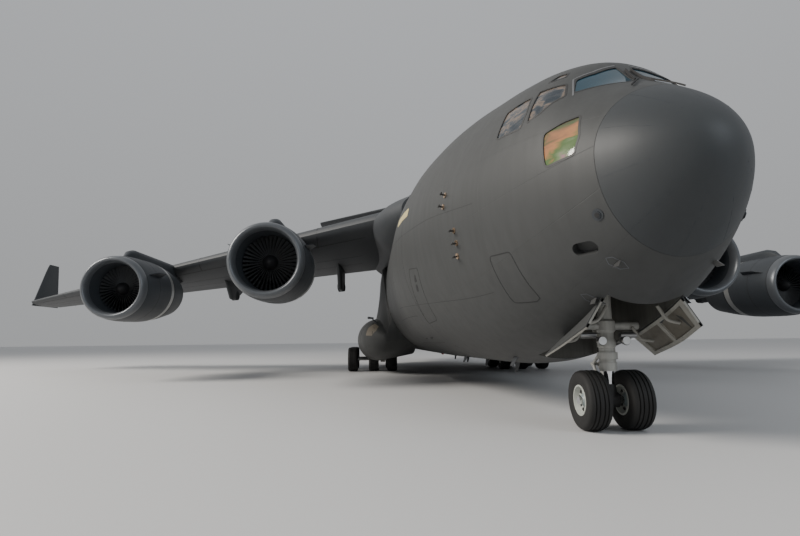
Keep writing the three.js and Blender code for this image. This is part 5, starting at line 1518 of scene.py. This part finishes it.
# the bare patch on the bulb's front
patch = []
for d in np.linspace(12, 64, 12):
    trim = 0.004 * abs(d - 40)
    patch.append([at(s, *bulb(s, d, 0.004)) for s in np.linspace(18.05 + trim, 18.75 - trim, 10)])
patch_points = np.array(patch).reshape(-1, 3)
patch_faces = [(r * 10 + i, r * 10 + i + 1, r * 10 + i + 11, r * 10 + i + 10) for r in range(11)
               for i in range(9)]
strut_foot = at(18.75, *bulb(18.75, 72))
pod_strut = [pipe([strut_foot, strut_foot + [0.02, 0.12, 0.1]], 0.012, 8),
             pipe([strut_foot + [0.06, 0.08, 0.1], strut_foot + [-0.05, 0.2, 0.115]], [0.02, 0.03], 8)]
lamp_place = at(18.05, *bulb(18.05, 96, 0.02))
pod_lamp = moved(turned([[-0.03, 0.0], [-0.02, 0.022], [0.03, 0.026], [0.04, 0.0]], 16),
                 Matrix.Translation(lamp_place))
for side in SIDES:
    piece(f"pod_{side}", on_side(side, pod), skin_paint, replaces=[f"sponson_{side}"], slot="airframe_grey")
    piece(f"pod_gaps_{side}", [on_side(side, s) for s in bulb_lines], dark_gap_and_shade)
    piece(f"pod_strut_{side}", [on_side(side, s) for s in pod_strut], nacelle_paint_sky_shaded)
    piece(f"pod_lamp_{side}", on_side(side, pod_lamp), white_lens)
    piece(f"pod_patch_{side}", on_side(side, (patch_points, patch_faces)), primer)
tell("pods")

# %% [markdown]
# ## Undercarriage
#
# A tyre's section is drawn once and turned about its axle. An image could fake the grooves, but they show at
# the tyre's edge. Rings of bolts and of dark discs, painted shade in the wheels' holes, come from the tree
# for rows and rings.

# %% Tyres and wheels
AXLE = 0.065
BOLTS = 9
ACROSS = Matrix.Rotation(math.pi / 2, 4, "Z")
UPRIGHT = Matrix.Rotation(math.pi / 2, 4, "Y")


def tyre_profile(radius, half, rim, grooves=(0.2, 0.52)):
    """One tyre's section as a closed loop of (distance across, radius)."""
    wide = rim + (radius - rim) * 0.46
    side = []
    for a in np.radians(np.linspace(0, 90, 12)):
        side.append((half * math.sin(a) ** 0.62, wide + (radius - wide) * math.cos(a) ** 0.42))
    right = [(0, radius)]
    for share in grooves:
        middle, w, deep = share * half, 0.012, 0.02
        right += [(middle - w, radius - 0.001), (middle - w * 0.6, radius - deep),
                  (middle + w * 0.6, radius - deep),
                  (middle + w, radius - 0.002)]
    right += [p for p in side if p[0] > half * 0.66]
    right += [(half * 0.97, (wide + rim) / 2 + 0.02), (half * 0.87, rim + 0.01), (half * 0.8, rim - 0.01)]
    return right + [(-a, r) for a, r in reversed(right[1:])]


def wheel_profile(half, rim):
    side = [(0.82, rim + 0.012), (0.9, rim + 0.004), (0.9, rim - 0.02), (0.74, rim - 0.035),
            (0.5, rim - 0.06),
            (0.46, rim - 0.11), (0.46, 0.1), (0.46, 0.0)]
    return [(-share * half, r) for share, r in reversed(side)] + [(share * half, r) for share, r in side]


def add_wheels(name, body, station, spans, size):
    """Tyres, wheels, bolts and holes of one axle as pieces of its body."""
    radius, half, rim = size
    centres = [Matrix.Translation(at(station, span, radius)) @ ACROSS for span in spans]
    tyre = turned(sized(tyre_profile(radius, half, rim)), 96, closed=True)
    wheel = turned(sized(wheel_profile(half, rim)), 64)
    faces = [m @ Matrix.Translation((s * half * 0.47 * HALF, 0, 0)) for m in centres for s in (-1, 1)]
    bolt = moved(turned([[-0.008, 0.0], [-0.008, 0.0055], [0.008, 0.0055], [0.008, 0.0]], 6),
                 Matrix.Translation((0, 0, 0.07)))
    # dark discs where the wheel has holes: painted shade in them
    hole = moved(turned([[-0.004, 0.0], [-0.004, 0.021], [0.004, 0.021], [0.004, 0.0]], 16),
                 Matrix.Translation((0, 0, (rim - 0.075) * HALF)))
    low, high = at(station, min(spans) - 0.2, radius), at(station, max(spans) + 0.2, radius)
    piece(f"tyres_{name}", [moved(tyre, m) for m in centres], rubber, body, replaces=[body],
          slot="tyre_rubber")
    piece(f"hubs_{name}", [moved(wheel, m) for m in centres], wheel_paint, body)
    cap = turned(sized([(-half * 0.72, 0.0), (-half * 0.72, 0.07), (-half * 0.475, 0.125),
                        (half * 0.475, 0.125),
                        (half * 0.72, 0.07), (half * 0.72, 0.0)]), 32)
    piece(f"hub_caps_{name}", [moved(cap, m) for m in centres], hub_paint, body)
    piece(f"axle_{name}", pipe([low, high], AXLE * HALF, 24), chrome if name == "nose" else steel, body)
    repeated(f"bolts_{name}", bolt, BOLTS, steel, turn=2 * math.pi / BOLTS, places=faces, body=body)
    repeated(f"holes_{name}", hole, BOLTS, dark_gap_and_shade, turn=2 * math.pi / BOLTS, places=faces, body=body)


print("corners of a tyre's section", len(tyre_profile(0.508, 0.203, 0.255)))

# %% Nose wheels, main wheels and main legs
NOSE_GEAR, NOSE_TYRE = 3.3, (0.508, 0.203, 0.255)
MAIN_TYRE, MAIN_MIDDLE, MAIN_WHEELS = (0.635, 0.262, 0.3), 4.03, (-0.97, 0, 1.1)
add_wheels("nose", "nose_wheels", NOSE_GEAR, (-0.3675, 0.3675), NOSE_TYRE)
for row, station in (("forward", 22.1), ("rear", 24.75)):
    for side, sign in SIDES.items():
        spans = [sign * (MAIN_MIDDLE + offset) for offset in MAIN_WHEELS]
        add_wheels(f"{row}_{side}", f"main_wheels_{row}_{side}", station, spans, MAIN_TYRE)
        leg = sign * (MAIN_MIDDLE + MAIN_WHEELS[0] * 0.5)
        post = moved(turned(sized([(0.56, 0.0), (0.56, 0.1), (0.6, 0.13), (0.95, 0.13), (0.97, 0.15),
            (1.08, 0.15), (1.1, 0.135),
                                   (1.4, 0.135), (1.42, 0.15), (1.52, 0.15), (1.52, 0.0)]), 32),
                     Matrix.Translation(at(station, leg, 0)) @ UPRIGHT)
        foot = pipe([at(station, leg - 0.12, 0.635), at(station, leg + 0.12, 0.635)], 0.16 * HALF, 32)
        brace = pipe([at(station - 0.1, leg, 1.02), at(station - 0.75, leg, 1.48)], 0.05 * HALF, 12)
        piece(f"leg_{row}_{side}", [post, foot, brace], gear_white, replaces=[f"main_leg_{row}_{side}"],
              slot="leg_white")
tell("wheels and main legs")

# %% [markdown]
# ## The nose leg
#
# A white cylinder with a bright piston, a folding brace, links, lamps and hoses. Turned parts and bars are
# enough, because the real parts are turned and drilled too.


# %% Nose leg
def upright_at(profile, sides=40, aft=0.0, span=0.0):
    """A part turned about an upright line, from (height, radius) corners."""
    return moved(turned(sized(profile), sides), Matrix.Translation(at(NOSE_GEAR + aft, span, 0)) @ UPRIGHT)


def bar(a, b, radius, sides=12):
    """A bar between two (aft of the leg, span, height) places."""
    ends = [at(NOSE_GEAR + aft, span, height) for aft, span, height in (a, b)]
    return pipe(ends, radius * HALF, sides)


CYLINDER = [(1.02, 0.095), (1.0, 0.11), (1.0, 0.145), (1.14, 0.15), (1.16, 0.138), (1.4, 0.138),
            (1.42, 0.155),
            (1.52, 0.155), (1.56, 0.13), (1.66, 0.13), (1.7, 0.16), (1.86, 0.16), (1.9, 0.12), (3.28, 0.12),
            (3.28, 0)]
cylinder = upright_at(CYLINDER)
trunnion = bar((0, -0.58, 1.78), (0, 0.58, 1.78), 0.07, 20)
drag_brace = [bar((0.1, y, 1.62), (1.7, y * 2.4, 2.95), 0.045) for y in (-0.09, 0.09)]
drag_brace.append(bar((0.85, -0.18, 2.25), (0.85, 0.18, 2.25), 0.035))
piece("nose_leg_dress", [cylinder, trunnion, *drag_brace], gear_white, replaces=["nose_leg"],
      slot="leg_white")
tell("nose leg")

# %% Piston, links, lamps and hoses
piston = upright_at([(0.5, 0.0), (0.5, 0.085), (1.58, 0.085), (1.58, 0.0)], 32)
piece("nose_piston", piston, chrome, "nose_steering", replaces=["nose_steering"], slot="piston_chrome")
piece("nose_foot", [bar((0, -0.13, 0.508), (0, 0.13, 0.508), 0.13, 32),
                    upright_at([(0.5, 0.12), (0.72, 0.11), (0.78, 0.09)], 24)],
      hose_black, "nose_steering")
collar = upright_at([(1.2, 0.141), (1.2, 0.17), (1.32, 0.17), (1.32, 0.141)], 40)
links = [bar((0.12, y, 1.28), (0.5, y * 0.5, 1.1), 0.028) for y in (-0.09, 0.09)]
links += [bar((0.5, y * 0.5, 1.1), (0.08, y, 0.66), 0.028) for y in (-0.09, 0.09)]
links.append(bar((0.5, -0.08, 1.1), (0.5, 0.08, 1.1), 0.03))
piece("torque_links", [collar, *links], gear_white, "nose_steering")
rams = [bar((-0.06, y * 0.22, 1.62), (-0.06, y * 0.5, 1.62), 0.055, 20) for y in (-1, 1)]
piece("steering_rams", rams, steel)
LAMP_SPANS = (-0.21, 0.21)
lamp_places = [Matrix.Translation(at(NOSE_GEAR - 0.22, y, 1.52)) for y in LAMP_SPANS]
lamps = [moved(turned(sized([(-0.1, 0.0), (-0.1, 0.07), (-0.08, 0.08), (0.04, 0.06), (0.08, 0.0)]), 24),
               place) for place in lamp_places]
glass = [moved(turned(sized([(-0.108, 0.0), (-0.104, 0.03), (-0.1, 0.068), (-0.096, 0.0)]), 24),
               place) for place in lamp_places]
brackets = [bar((-0.05, y * 0.6, 1.5), (-0.2, y, 1.5), 0.025) for y in LAMP_SPANS]
piece("taxi_lamps", [*lamps, *brackets], steel)
piece("taxi_lenses", glass, white_lens)
hoses = []
for y, out in ((-0.1, 0.02), (0.1, -0.03), (0.12, 0.05)):
    corners = ((0.12, 0, 1.75), (0.18, out, 1.55), (0.17, out, 1.38), (0.13, 0, 1.3))
    route = smooth_path([at(NOSE_GEAR + aft, y + s, height) for aft, s, height in corners])
    hoses.append(pipe(route, 0.007, 8))
piece("nose_hoses", hoses, hose_black)
tell("piston, links and lamps")

# %% [markdown]
# ## Nose-gear doors
#
# Two doors hang open beside the leg, with a frame, an inner panel and bent arms. All are slabs between
# shares of one slanting plane, so the layers fit.

# %% Nose gear doors
# station, span and height of the outer edge
GEAR_DOOR = np.array([[2.0, 0.92, 1.74], [2.7, 1.0, 1.5], [3.55, 1.03, 1.28]])
DOOR_HINGE_SPAN = 0.61


def door_height(station, span):
    """Height of the lower skin at a span."""
    turn = np.linspace(-89.9, 0, 300)
    skin = skin_at(np.full(300, station), turn) / HALF
    return float(np.interp(span, -skin[::-1, 1][::-1], skin[:, 2]))


def door_place(along_share, out_share, deep):
    """A place on the hanging door: shares along and out from the hinge, and depth under its outer face."""
    station = GEAR_DOOR[0, 0] + (GEAR_DOOR[-1, 0] - GEAR_DOOR[0, 0]) * along_share
    outer, low = monotone(GEAR_DOOR[:, 0], GEAR_DOOR[:, 1:], [station])[0]
    high = door_height(station, DOOR_HINGE_SPAN) + 0.06
    slope = math.atan2(high - low, outer - DOOR_HINGE_SPAN)
    y = DOOR_HINGE_SPAN + (outer - DOOR_HINGE_SPAN) * out_share - deep * math.sin(slope)
    return at(station, y, high + (low - high) * out_share - deep * math.cos(slope))


def door_slab(along, out, deep, count=9):
    rings = []
    for t in np.linspace(*along, count):
        corners = ((out[0], deep[0]), (out[1], deep[0]), (out[1], deep[1]), (out[0], deep[1]))
        rings.append([door_place(t, u, d) for u, d in corners])
    return tube(rings)


door_skin = mesh_object("door_skin", door_slab((0, 1), (0.04, 1), (0, 0.014)))
cut(door_skin, fuselage_solid(1, 7, 24, -0.002))
door_skin = shape_of(door_skin)
frames = [door_slab((0, 1), span, (0.012, 0.045)) for span in ((0.1, 0.2), (0.88, 1.0))]
RIBS = ((0, 0.07), (0.47, 0.05), (0.93, 0.07))
frames += [door_slab((t, t + w), (0.1, 1.0), (0.012, 0.045), 3) for t, w in RIBS]
inner_panel = door_slab((0.05, 0.95), (0.18, 0.9), (0.012, 0.017))
for side in SIDES:
    arms = []
    for t in (0.22, 0.78):
        route = [door_place(t, 0.55, 0.05), door_place(t, 0.3, 0.16),
                 door_place(t, 0.02, 0.18) + [0, -0.03, 0.06]]
        arms.append(pipe(smooth_path(route, 6), 0.014, 10))
    piece(f"gear_door_{side}", on_side(side, door_skin), skin_paint, replaces=[f"nose_gear_door_{side}"],
          slot="airframe_grey")
    piece(f"gear_door_frame_{side}", [on_side(side, s) for s in frames + arms], door_inside)
    piece(f"gear_door_panel_{side}", on_side(side, inner_panel), door_panel)
tell("nose-gear doors")

# %% [markdown]
# ## Small parts on the skin
#
# Probes, lights, recesses, antennas and strips tell the eye how large the aircraft is. Each sits on the
# skin at its station and height, on the side where the photo shows it, and on the other side too where such
# aircraft have a pair.


# %% Places on the skin
def on_skin(station, height, out=0.0):
    """A place on the starboard skin and its outward direction."""
    d = degrees_at(station, height)
    normal = skin_normal(np.array([station]), np.array([d]))[0]
    return skin_at(station, d) + normal * out * HALF, normal


def disc_on_skin(station, height, radius, low, high, sides=24):
    """A round plate square to the skin."""
    foot, normal = on_skin(station, height, low)
    return pipe([foot, foot + normal * (high - low) * HALF], radius * HALF, sides)


def probe(station, height):
    """A mast on a round plate, with a tube that points forward."""
    foot, normal = on_skin(station, height)
    tip = foot + normal * 0.11 * HALF
    ahead = np.array([HALF, 0, 0])
    mast = pipe([foot, tip], [0.012, 0.008], 10)
    nose = pipe([tip - ahead * 0.04, tip + ahead * 0.11, tip + ahead * 0.14], [0.009, 0.007, 0.003], 12)
    return [mast, nose]


PROBES = [(5.02, 4.66), (5.06, 4.41), (4.57, 3.78), (4.57, 3.52), (4.69, 3.27)]
plates, tubes = [], []
for station, height in PROBES:
    plates += both(disc_on_skin(station, height, 0.06, -0.02, 0.02))
    tubes += [s for shape in probe(station, height) for s in both(shape)]
piece("probe_plates", plates, probe_brass)
piece("probes", tubes, hose_black)
tell("probes")

# %% [markdown]
# ## Recesses and lights
#
# Pockets drawn as dark plates of painted shade, sensors and a pale strip that glows at night. Draped plates
# and discs sit square to the skin.

# %% Recesses, lights and the strip
RECESSES = [[(7.84, 3.31), (7.9, 3.31), (8.09, 3.12), (7.84, 3.12)],
            [(7.94, 3.06), (8.1, 3.06), (8.2, 2.88), (8.02, 2.88)]]
# each recess is a thin dark plate on the skin: painted shade in the pocket
recess_shades = [drape(rounded(heights_path(corners), 0.3, 5), -0.012, 0.0022) for corners in RECESSES]
piece("skin_recesses", recess_shades, dark_gap_and_shade)
rim = [disc_on_skin(1.09, 3.23, 0.085, -0.02, 0.008), disc_on_skin(1.09, 3.23, 0.05, -0.02, 0.02)]
piece("sensor_ring", [s for shape in rim for s in both(shape)], nacelle_paint_sky_shaded)
piece("sensor_eye", both(disc_on_skin(1.09, 3.23, 0.036, 0.0, 0.026)), dark_gap_and_shade)
sixths = np.radians(np.arange(0, 360, 60))
hexagons = [heights_path([(s + 0.08 * math.cos(a), z + 0.09 * math.sin(a)) for a in sixths])
            for s, z in ((1.34, 2.6), (2.14, 2.16))]
piece("vane_outlines", [skin_strip(h, 0.012, -0.01, 0.003, loop=True) for h in hexagons], lip_paint)
for name, station, height in (("forward", 2.12, 2.16), ("belly", 1.32, 2.61)):
    foot, normal = on_skin(station, height)
    plate = np.array([[0.05, 0, 0], [-0.03, 0, 0], [-0.03, 0.004, 0], [0.05, 0.004, 0]])
    vane_plate = tube([foot + normal * h + plate for h in (-0.01, 0.05)])
    piece(f"{name}_vane", both(vane_plate), steel)
glow = [(8.3, 5.02), (10.1, 5.1), (10.1, 5.34), (8.3, 5.26)]
piece("formation_lights", both(drape(rounded(heights_path(glow), 0.1, 4), -0.01, 0.004)), formation_strip)
piece("door_ports", both(disc_on_skin(28.9, 4.4, 0.16, -0.02, 0.012)), side_glass, slot="cockpit_glass")
tell("recesses and lights")

# %% [markdown]
# ## Aft doors and hatches
#
# The photo doesn't show these, but such aircraft have them, so thin outlines stand in the usual places.

# %% Aft doors, hatches and refuelling slot
more_lines = []
troop_door = [(28.35, 3.85), (28.35, 4.95), (29.45, 4.95), (29.45, 3.85)]
more_lines += both(skin_strip(rounded(heights_path(troop_door), 0.14, 5), 0.022, -0.01, 0.003, loop=True))
for station, degrees in ((6.6, 62), (13.4, 66), (31.5, 64)):
    hatch = [(station, degrees), (station + 0.9, degrees), (station + 0.9, degrees + 16),
             (station, degrees + 16)]
    more_lines += both(skin_strip(rounded(hatch, 0.15, 5), 0.02, -0.01, 0.003, loop=True))
receptacle = [(4.3, 86), (5.6, 84), (5.6, 96), (4.3, 94)]
more_lines.append(skin_strip(rounded(receptacle, 0.15, 4), 0.03, -0.01, 0.003, loop=True))
for height in (2.3, 1.5):
    more_lines += both(skin_strip(heights_path([(9.6, height), (12.9, height)]), 0.014, -0.01, 0.0015))
piece("skin_gaps_aft", more_lines, dark_gap_and_shade)
# the refuelling slot is a thin dark plate: painted shade in the opening
slot_outline = rounded([(4.9, 88), (5.5, 87), (5.5, 93), (4.9, 92)], 0.25, 4)
piece("refuelling_slot", drape(slot_outline, -0.01, 0.004, (0.1, 2)), dark_gap_and_shade)
tell("aft doors and hatches")

# %% [markdown]
# ## Antennas and beacons
#
# Blades, a dome and lamps break the smooth outline. Each is a loft or a turned part, square to the skin.


# %% Antennas, beacons and strakes
def blade_antenna(station, degrees, high=0.34, long=0.4):
    """A swept blade square to the skin."""
    foot = skin_at(station, degrees)
    normal = skin_normal(np.array([station]), np.array([degrees]))[0]
    across = np.cross(normal, [1, 0, 0])
    rings = []
    for up, scale, sweep in ((-0.05, 1.0, 0), (high * 0.5, 0.8, 0.12), (high, 0.55, 0.26)):
        centre = foot + normal * up * HALF - np.array([sweep * HALF, 0, 0])
        outline = [(0.5, 0), (0.2, 0.06), (-0.25, 0.06), (-0.5, 0), (-0.25, -0.06), (0.2, -0.06)]
        rings.append([centre + np.array([u * long * scale * HALF, 0, 0]) + across * v * 0.7 * scale * HALF
                      for u, v in outline])
    return tube(rings)


antennas = [blade_antenna(s, 90) for s in (8.6, 11.4, 14.6, 33.6)]
antennas += [blade_antenna(s, -90, 0.3) for s in (8.8, 12.6, 16.2, 19.5)]
antennas += [blade_antenna(s, -74, 0.22, 0.3) for s in (6.2, 10.8)]
antennas.append(mirrored(blade_antenna(2.6, -70, 0.16, 0.22)))
piece("antennas", antennas, wing_paint_sky_tinted)
beacon = turned(sized([(-0.02, 0.0), (-0.02, 0.11), (0.05, 0.11), (0.12, 0.09), (0.17, 0.05), (0.18, 0.0)]),
                24)
beacons = [moved(beacon, Matrix.Translation(at(17.9, 0, 8.06)) @ UPRIGHT),
           moved(beacon, Matrix.Translation(at(24.2, 0, 0.95)) @ UPRIGHT.inverted())]
piece("beacons", beacons, red_lens)
dome = turned(sized([(-0.1, 0.0), (-0.1, 0.5), (0.08, 0.48), (0.2, 0.36), (0.27, 0.15), (0.28, 0.0)]), 48)
piece("satellite_dome", moved(dome, Matrix.Translation(at(12.8, 0, 7.78)) @ UPRIGHT), radome_paint)
TAIL_STRAKE = [(33.6, 0.0), (34.6, 0.5), (38.4, 0.62), (39.4, 0.0)]
TAIL_STRAKE_DEGREES = -46.0
sides = []
for thick in (-0.03, 0.03):
    corners = []
    for station, out in TAIL_STRAKE:
        foot = skin_at(station, TAIL_STRAKE_DEGREES)
        normal = skin_normal(np.array([station]), np.array([TAIL_STRAKE_DEGREES]))[0]
        across = np.cross(normal, [1, 0, 0])
        corners.append(foot + normal * (out - 0.02) * HALF + across * thick * HALF)
    sides.append(corners)
piece("tail_strakes", both(tube(sides)), wing_paint_sky_tinted)
tail_lamp = turned(sized([(0.0, 0.0), (0.0, 0.06), (0.08, 0.05), (0.12, 0.0)]), 20)
piece("tail_lamp", moved(tail_lamp, Matrix.Translation(at(52.25, 0, 15.99))), white_lens)
tell("antennas and beacons")

# %% [markdown]
# ## The flight deck
#
# The coated panes hide most of the cabin, but the open crew door and other angles show it. It has its floor
# and bulkhead, a sloping panel with screens, a pedestal with levers, and two seats with padded cushions.
# Boxes and prisms trimmed to the hull are enough behind dark glass.

# %% Flight deck
inside = fuselage_solid(1.2, 6.5, 40, WALL + 0.06)


def trimmed(name, shapes, material, bevel=0.0, **how):
    """A piece kept to the inside of the fuselage's lining."""
    thing = mesh_object(name, joined(shapes))
    cut(thing, inside, "INTERSECT")
    return finish(thing, material, bevel=bevel, **how)


deck = [placed_box([1.5, 5.7], [-3, 3], [3.72, 3.82])]
trimmed("deck_floor", deck, floor_paint, replaces=["flight_deck"], slot="interior_paint")
trimmed("deck_bulkhead", [placed_box([5.62, 5.7], [-3, 3], [3.7, 8])], cabin_paint)
PANEL = [(1.8, 3.8), (1.75, 4.9), (2.02, 4.96), (2.1, 4.86), (1.98, 4.3), (2.1, 3.8)]
trimmed("instrument_panel", [side_prism(PANEL, -1.1, 1.1)], cabin_paint, 0.008)
piece("glare_shield", side_prism([(1.72, 4.9), (1.72, 4.98), (2.14, 5.0), (2.16, 4.92)], -1.0, 1.0),
      seat_cloth, bevel=0.008)
screens = [placed_box([2.0, 2.075], [y - 0.14, y + 0.14], [4.5, 4.78])
           for y in (-0.78, -0.42, 0.0, 0.42, 0.78)]
piece("deck_screens", screens, screen_black, bevel=0.004)
piece("pedestal", [placed_box([2.02, 3.0], [-0.2, 0.2], [3.75, 4.4])], cabin_paint, bevel=0.015)
levers = [pipe([at(2.5, y, 4.38), at(2.42, y, 4.58)], [0.006, 0.012], 8) for y in (-0.11, -0.04, 0.04, 0.11)]
piece("throttle_levers", levers, hose_black)
sticks = [pipe(smooth_path([at(2.5, y, 3.8), at(2.5, y, 4.3), at(2.56, y, 4.52)], 5), [0.018] * 11, 10)
          for y in (-0.62, 0.62)]
piece("control_sticks", sticks, hose_black)
for side, sign in SIDES.items():
    y = sign * 0.62
    frame_parts = [placed_box([2.9, 3.42], [y - 0.24, y + 0.24], [3.77, 4.14]),
                   placed_box([3.36, 3.46], [y - 0.24, y + 0.24], [4.1, 5.05])]
    piece(f"seat_frame_{side}", frame_parts, cabin_paint, bevel=0.01)
    cushion = [placed_box([2.85, 3.36], [y - 0.26, y + 0.26], [4.15, 4.3]),
               placed_box([3.26, 3.37], [y - 0.24, y + 0.24], [4.3, 4.86]),
               placed_box([3.28, 3.38], [y - 0.15, y + 0.15], [4.9, 5.1])]
    seat = mesh_object(f"seat_cushions_{side}", joined(cushion))
    crown = seat.modifiers.new("crown", "SUBSURF")
    crown.levels = crown.render_levels = 3
    crown.subdivision_type = "CATMULL_CLARK"
    crease = seat.data.attributes.new("crease_edge", "FLOAT", "EDGE")
    crease.data.foreach_set("value", [0.72] * len(seat.data.edges))
    apply_modifiers(seat)
    finish(seat, seat_cloth, sharp=math.radians(80))
tell("flight deck")

# %% [markdown]
# ## Floor, light and camera
#
# The photo was taken on a pale studio floor under wide soft light. The main light comes from the upper left
# and behind. Two large discs and a soft sky give such light with little noise.

# %% Floor and world
FAR = 400
corners = [(-FAR, -FAR, 0), (FAR, -FAR, 0), (FAR, FAR, 0), (-FAR, FAR, 0)]
ground = mesh_object("studio_floor", (corners, [(0, 1, 2, 3)]))
floor_finish = new_material("studio_floor", Base_Color=grey(0.5), Roughness=0.55)[0]
ground.data.materials.append(floor_finish)

world = bpy.data.worlds.new("studio")
scene.world = world
world.use_nodes = True
sky = world.node_tree
back = sky.nodes["Background"]
facing = add_node(sky, "ShaderNodeTexCoord").outputs["Generated"]
tall = add_node(sky, "ShaderNodeSeparateXYZ", {0: facing}).outputs[2]
fade = add_node(sky, "ShaderNodeValToRGB", {0: maths(sky, "MULTIPLY_ADD", tall, 0.5, 0.5, clamp=True)})
stops = fade.color_ramp.elements
stops[0].position = 0.5
stops[0].color = (0.62, 0.63, 0.64, 1)
stops[1].position = 0.8
stops[1].color = (0.8, 0.82, 0.85, 1)
sky.links.new(fade.outputs[0], back.inputs["Color"])
back.inputs["Strength"].default_value = 0.62


def area_light(name, place, aim, size, power, colour=(1, 1, 1)):
    data = bpy.data.lights.new(name, "AREA")
    data.shape = "DISK"
    data.size = size
    data.energy = power
    data.color = colour
    lamp = bpy.data.objects.new(name, data)
    lamp.location = place
    lamp.rotation_euler = (Vector(aim) - Vector(place)).to_track_quat("-Z", "Y").to_euler()
    scene.collection.objects.link(lamp)
    return lamp


area_light("key", (12, -30, 20), (8, 0, 1.5), 16, 18000, (1.0, 0.95, 0.88))
area_light("fill", (30, 16, 14), (10, 0, 2), 16, 2500, (0.85, 0.93, 1.0))
print("lights", len(bpy.data.lights), "sky strength", back.inputs["Strength"].default_value)

# %% [markdown]
# ## The camera
#
# A camera can be moved by eye. This one was fitted to places measured in the photo, so its place, angles
# and lens are plain numbers.

# %% Camera
CAMERA = {"place": (15.993, -2.062, 0.772), "yaw": -0.0565, "pitch": 0.1449, "roll": -0.0109}
LENS, SENSOR = 22.69, 36


def camera_matrix(place, yaw, pitch, roll):
    """A camera from its place and three angles."""
    cy, sy, cp, sp = math.cos(yaw), math.sin(yaw), math.cos(pitch), math.sin(pitch)
    ahead = Vector((-cy * cp, -sy * cp, sp))
    right = Vector((-sy, cy, 0))
    up = right.cross(ahead)
    c, s = math.cos(roll), math.sin(roll)
    right, up = c * right + s * up, c * up - s * right
    matrix = Matrix((right, up, -ahead)).transposed().to_4x4()
    matrix.translation = place
    return matrix


lens = bpy.data.cameras.new("camera")
lens.lens = LENS
lens.sensor_width = SENSOR
lens.clip_start = 0.05
lens.clip_end = 2000
camera = bpy.data.objects.new("camera", lens)
camera.matrix_world = camera_matrix(**CAMERA)
scene.collection.objects.link(camera)
scene.camera = camera
scene.view_settings.view_transform = "AgX"
scene.view_settings.exposure = 0.0
print("camera", CAMERA["place"], "lens", LENS)
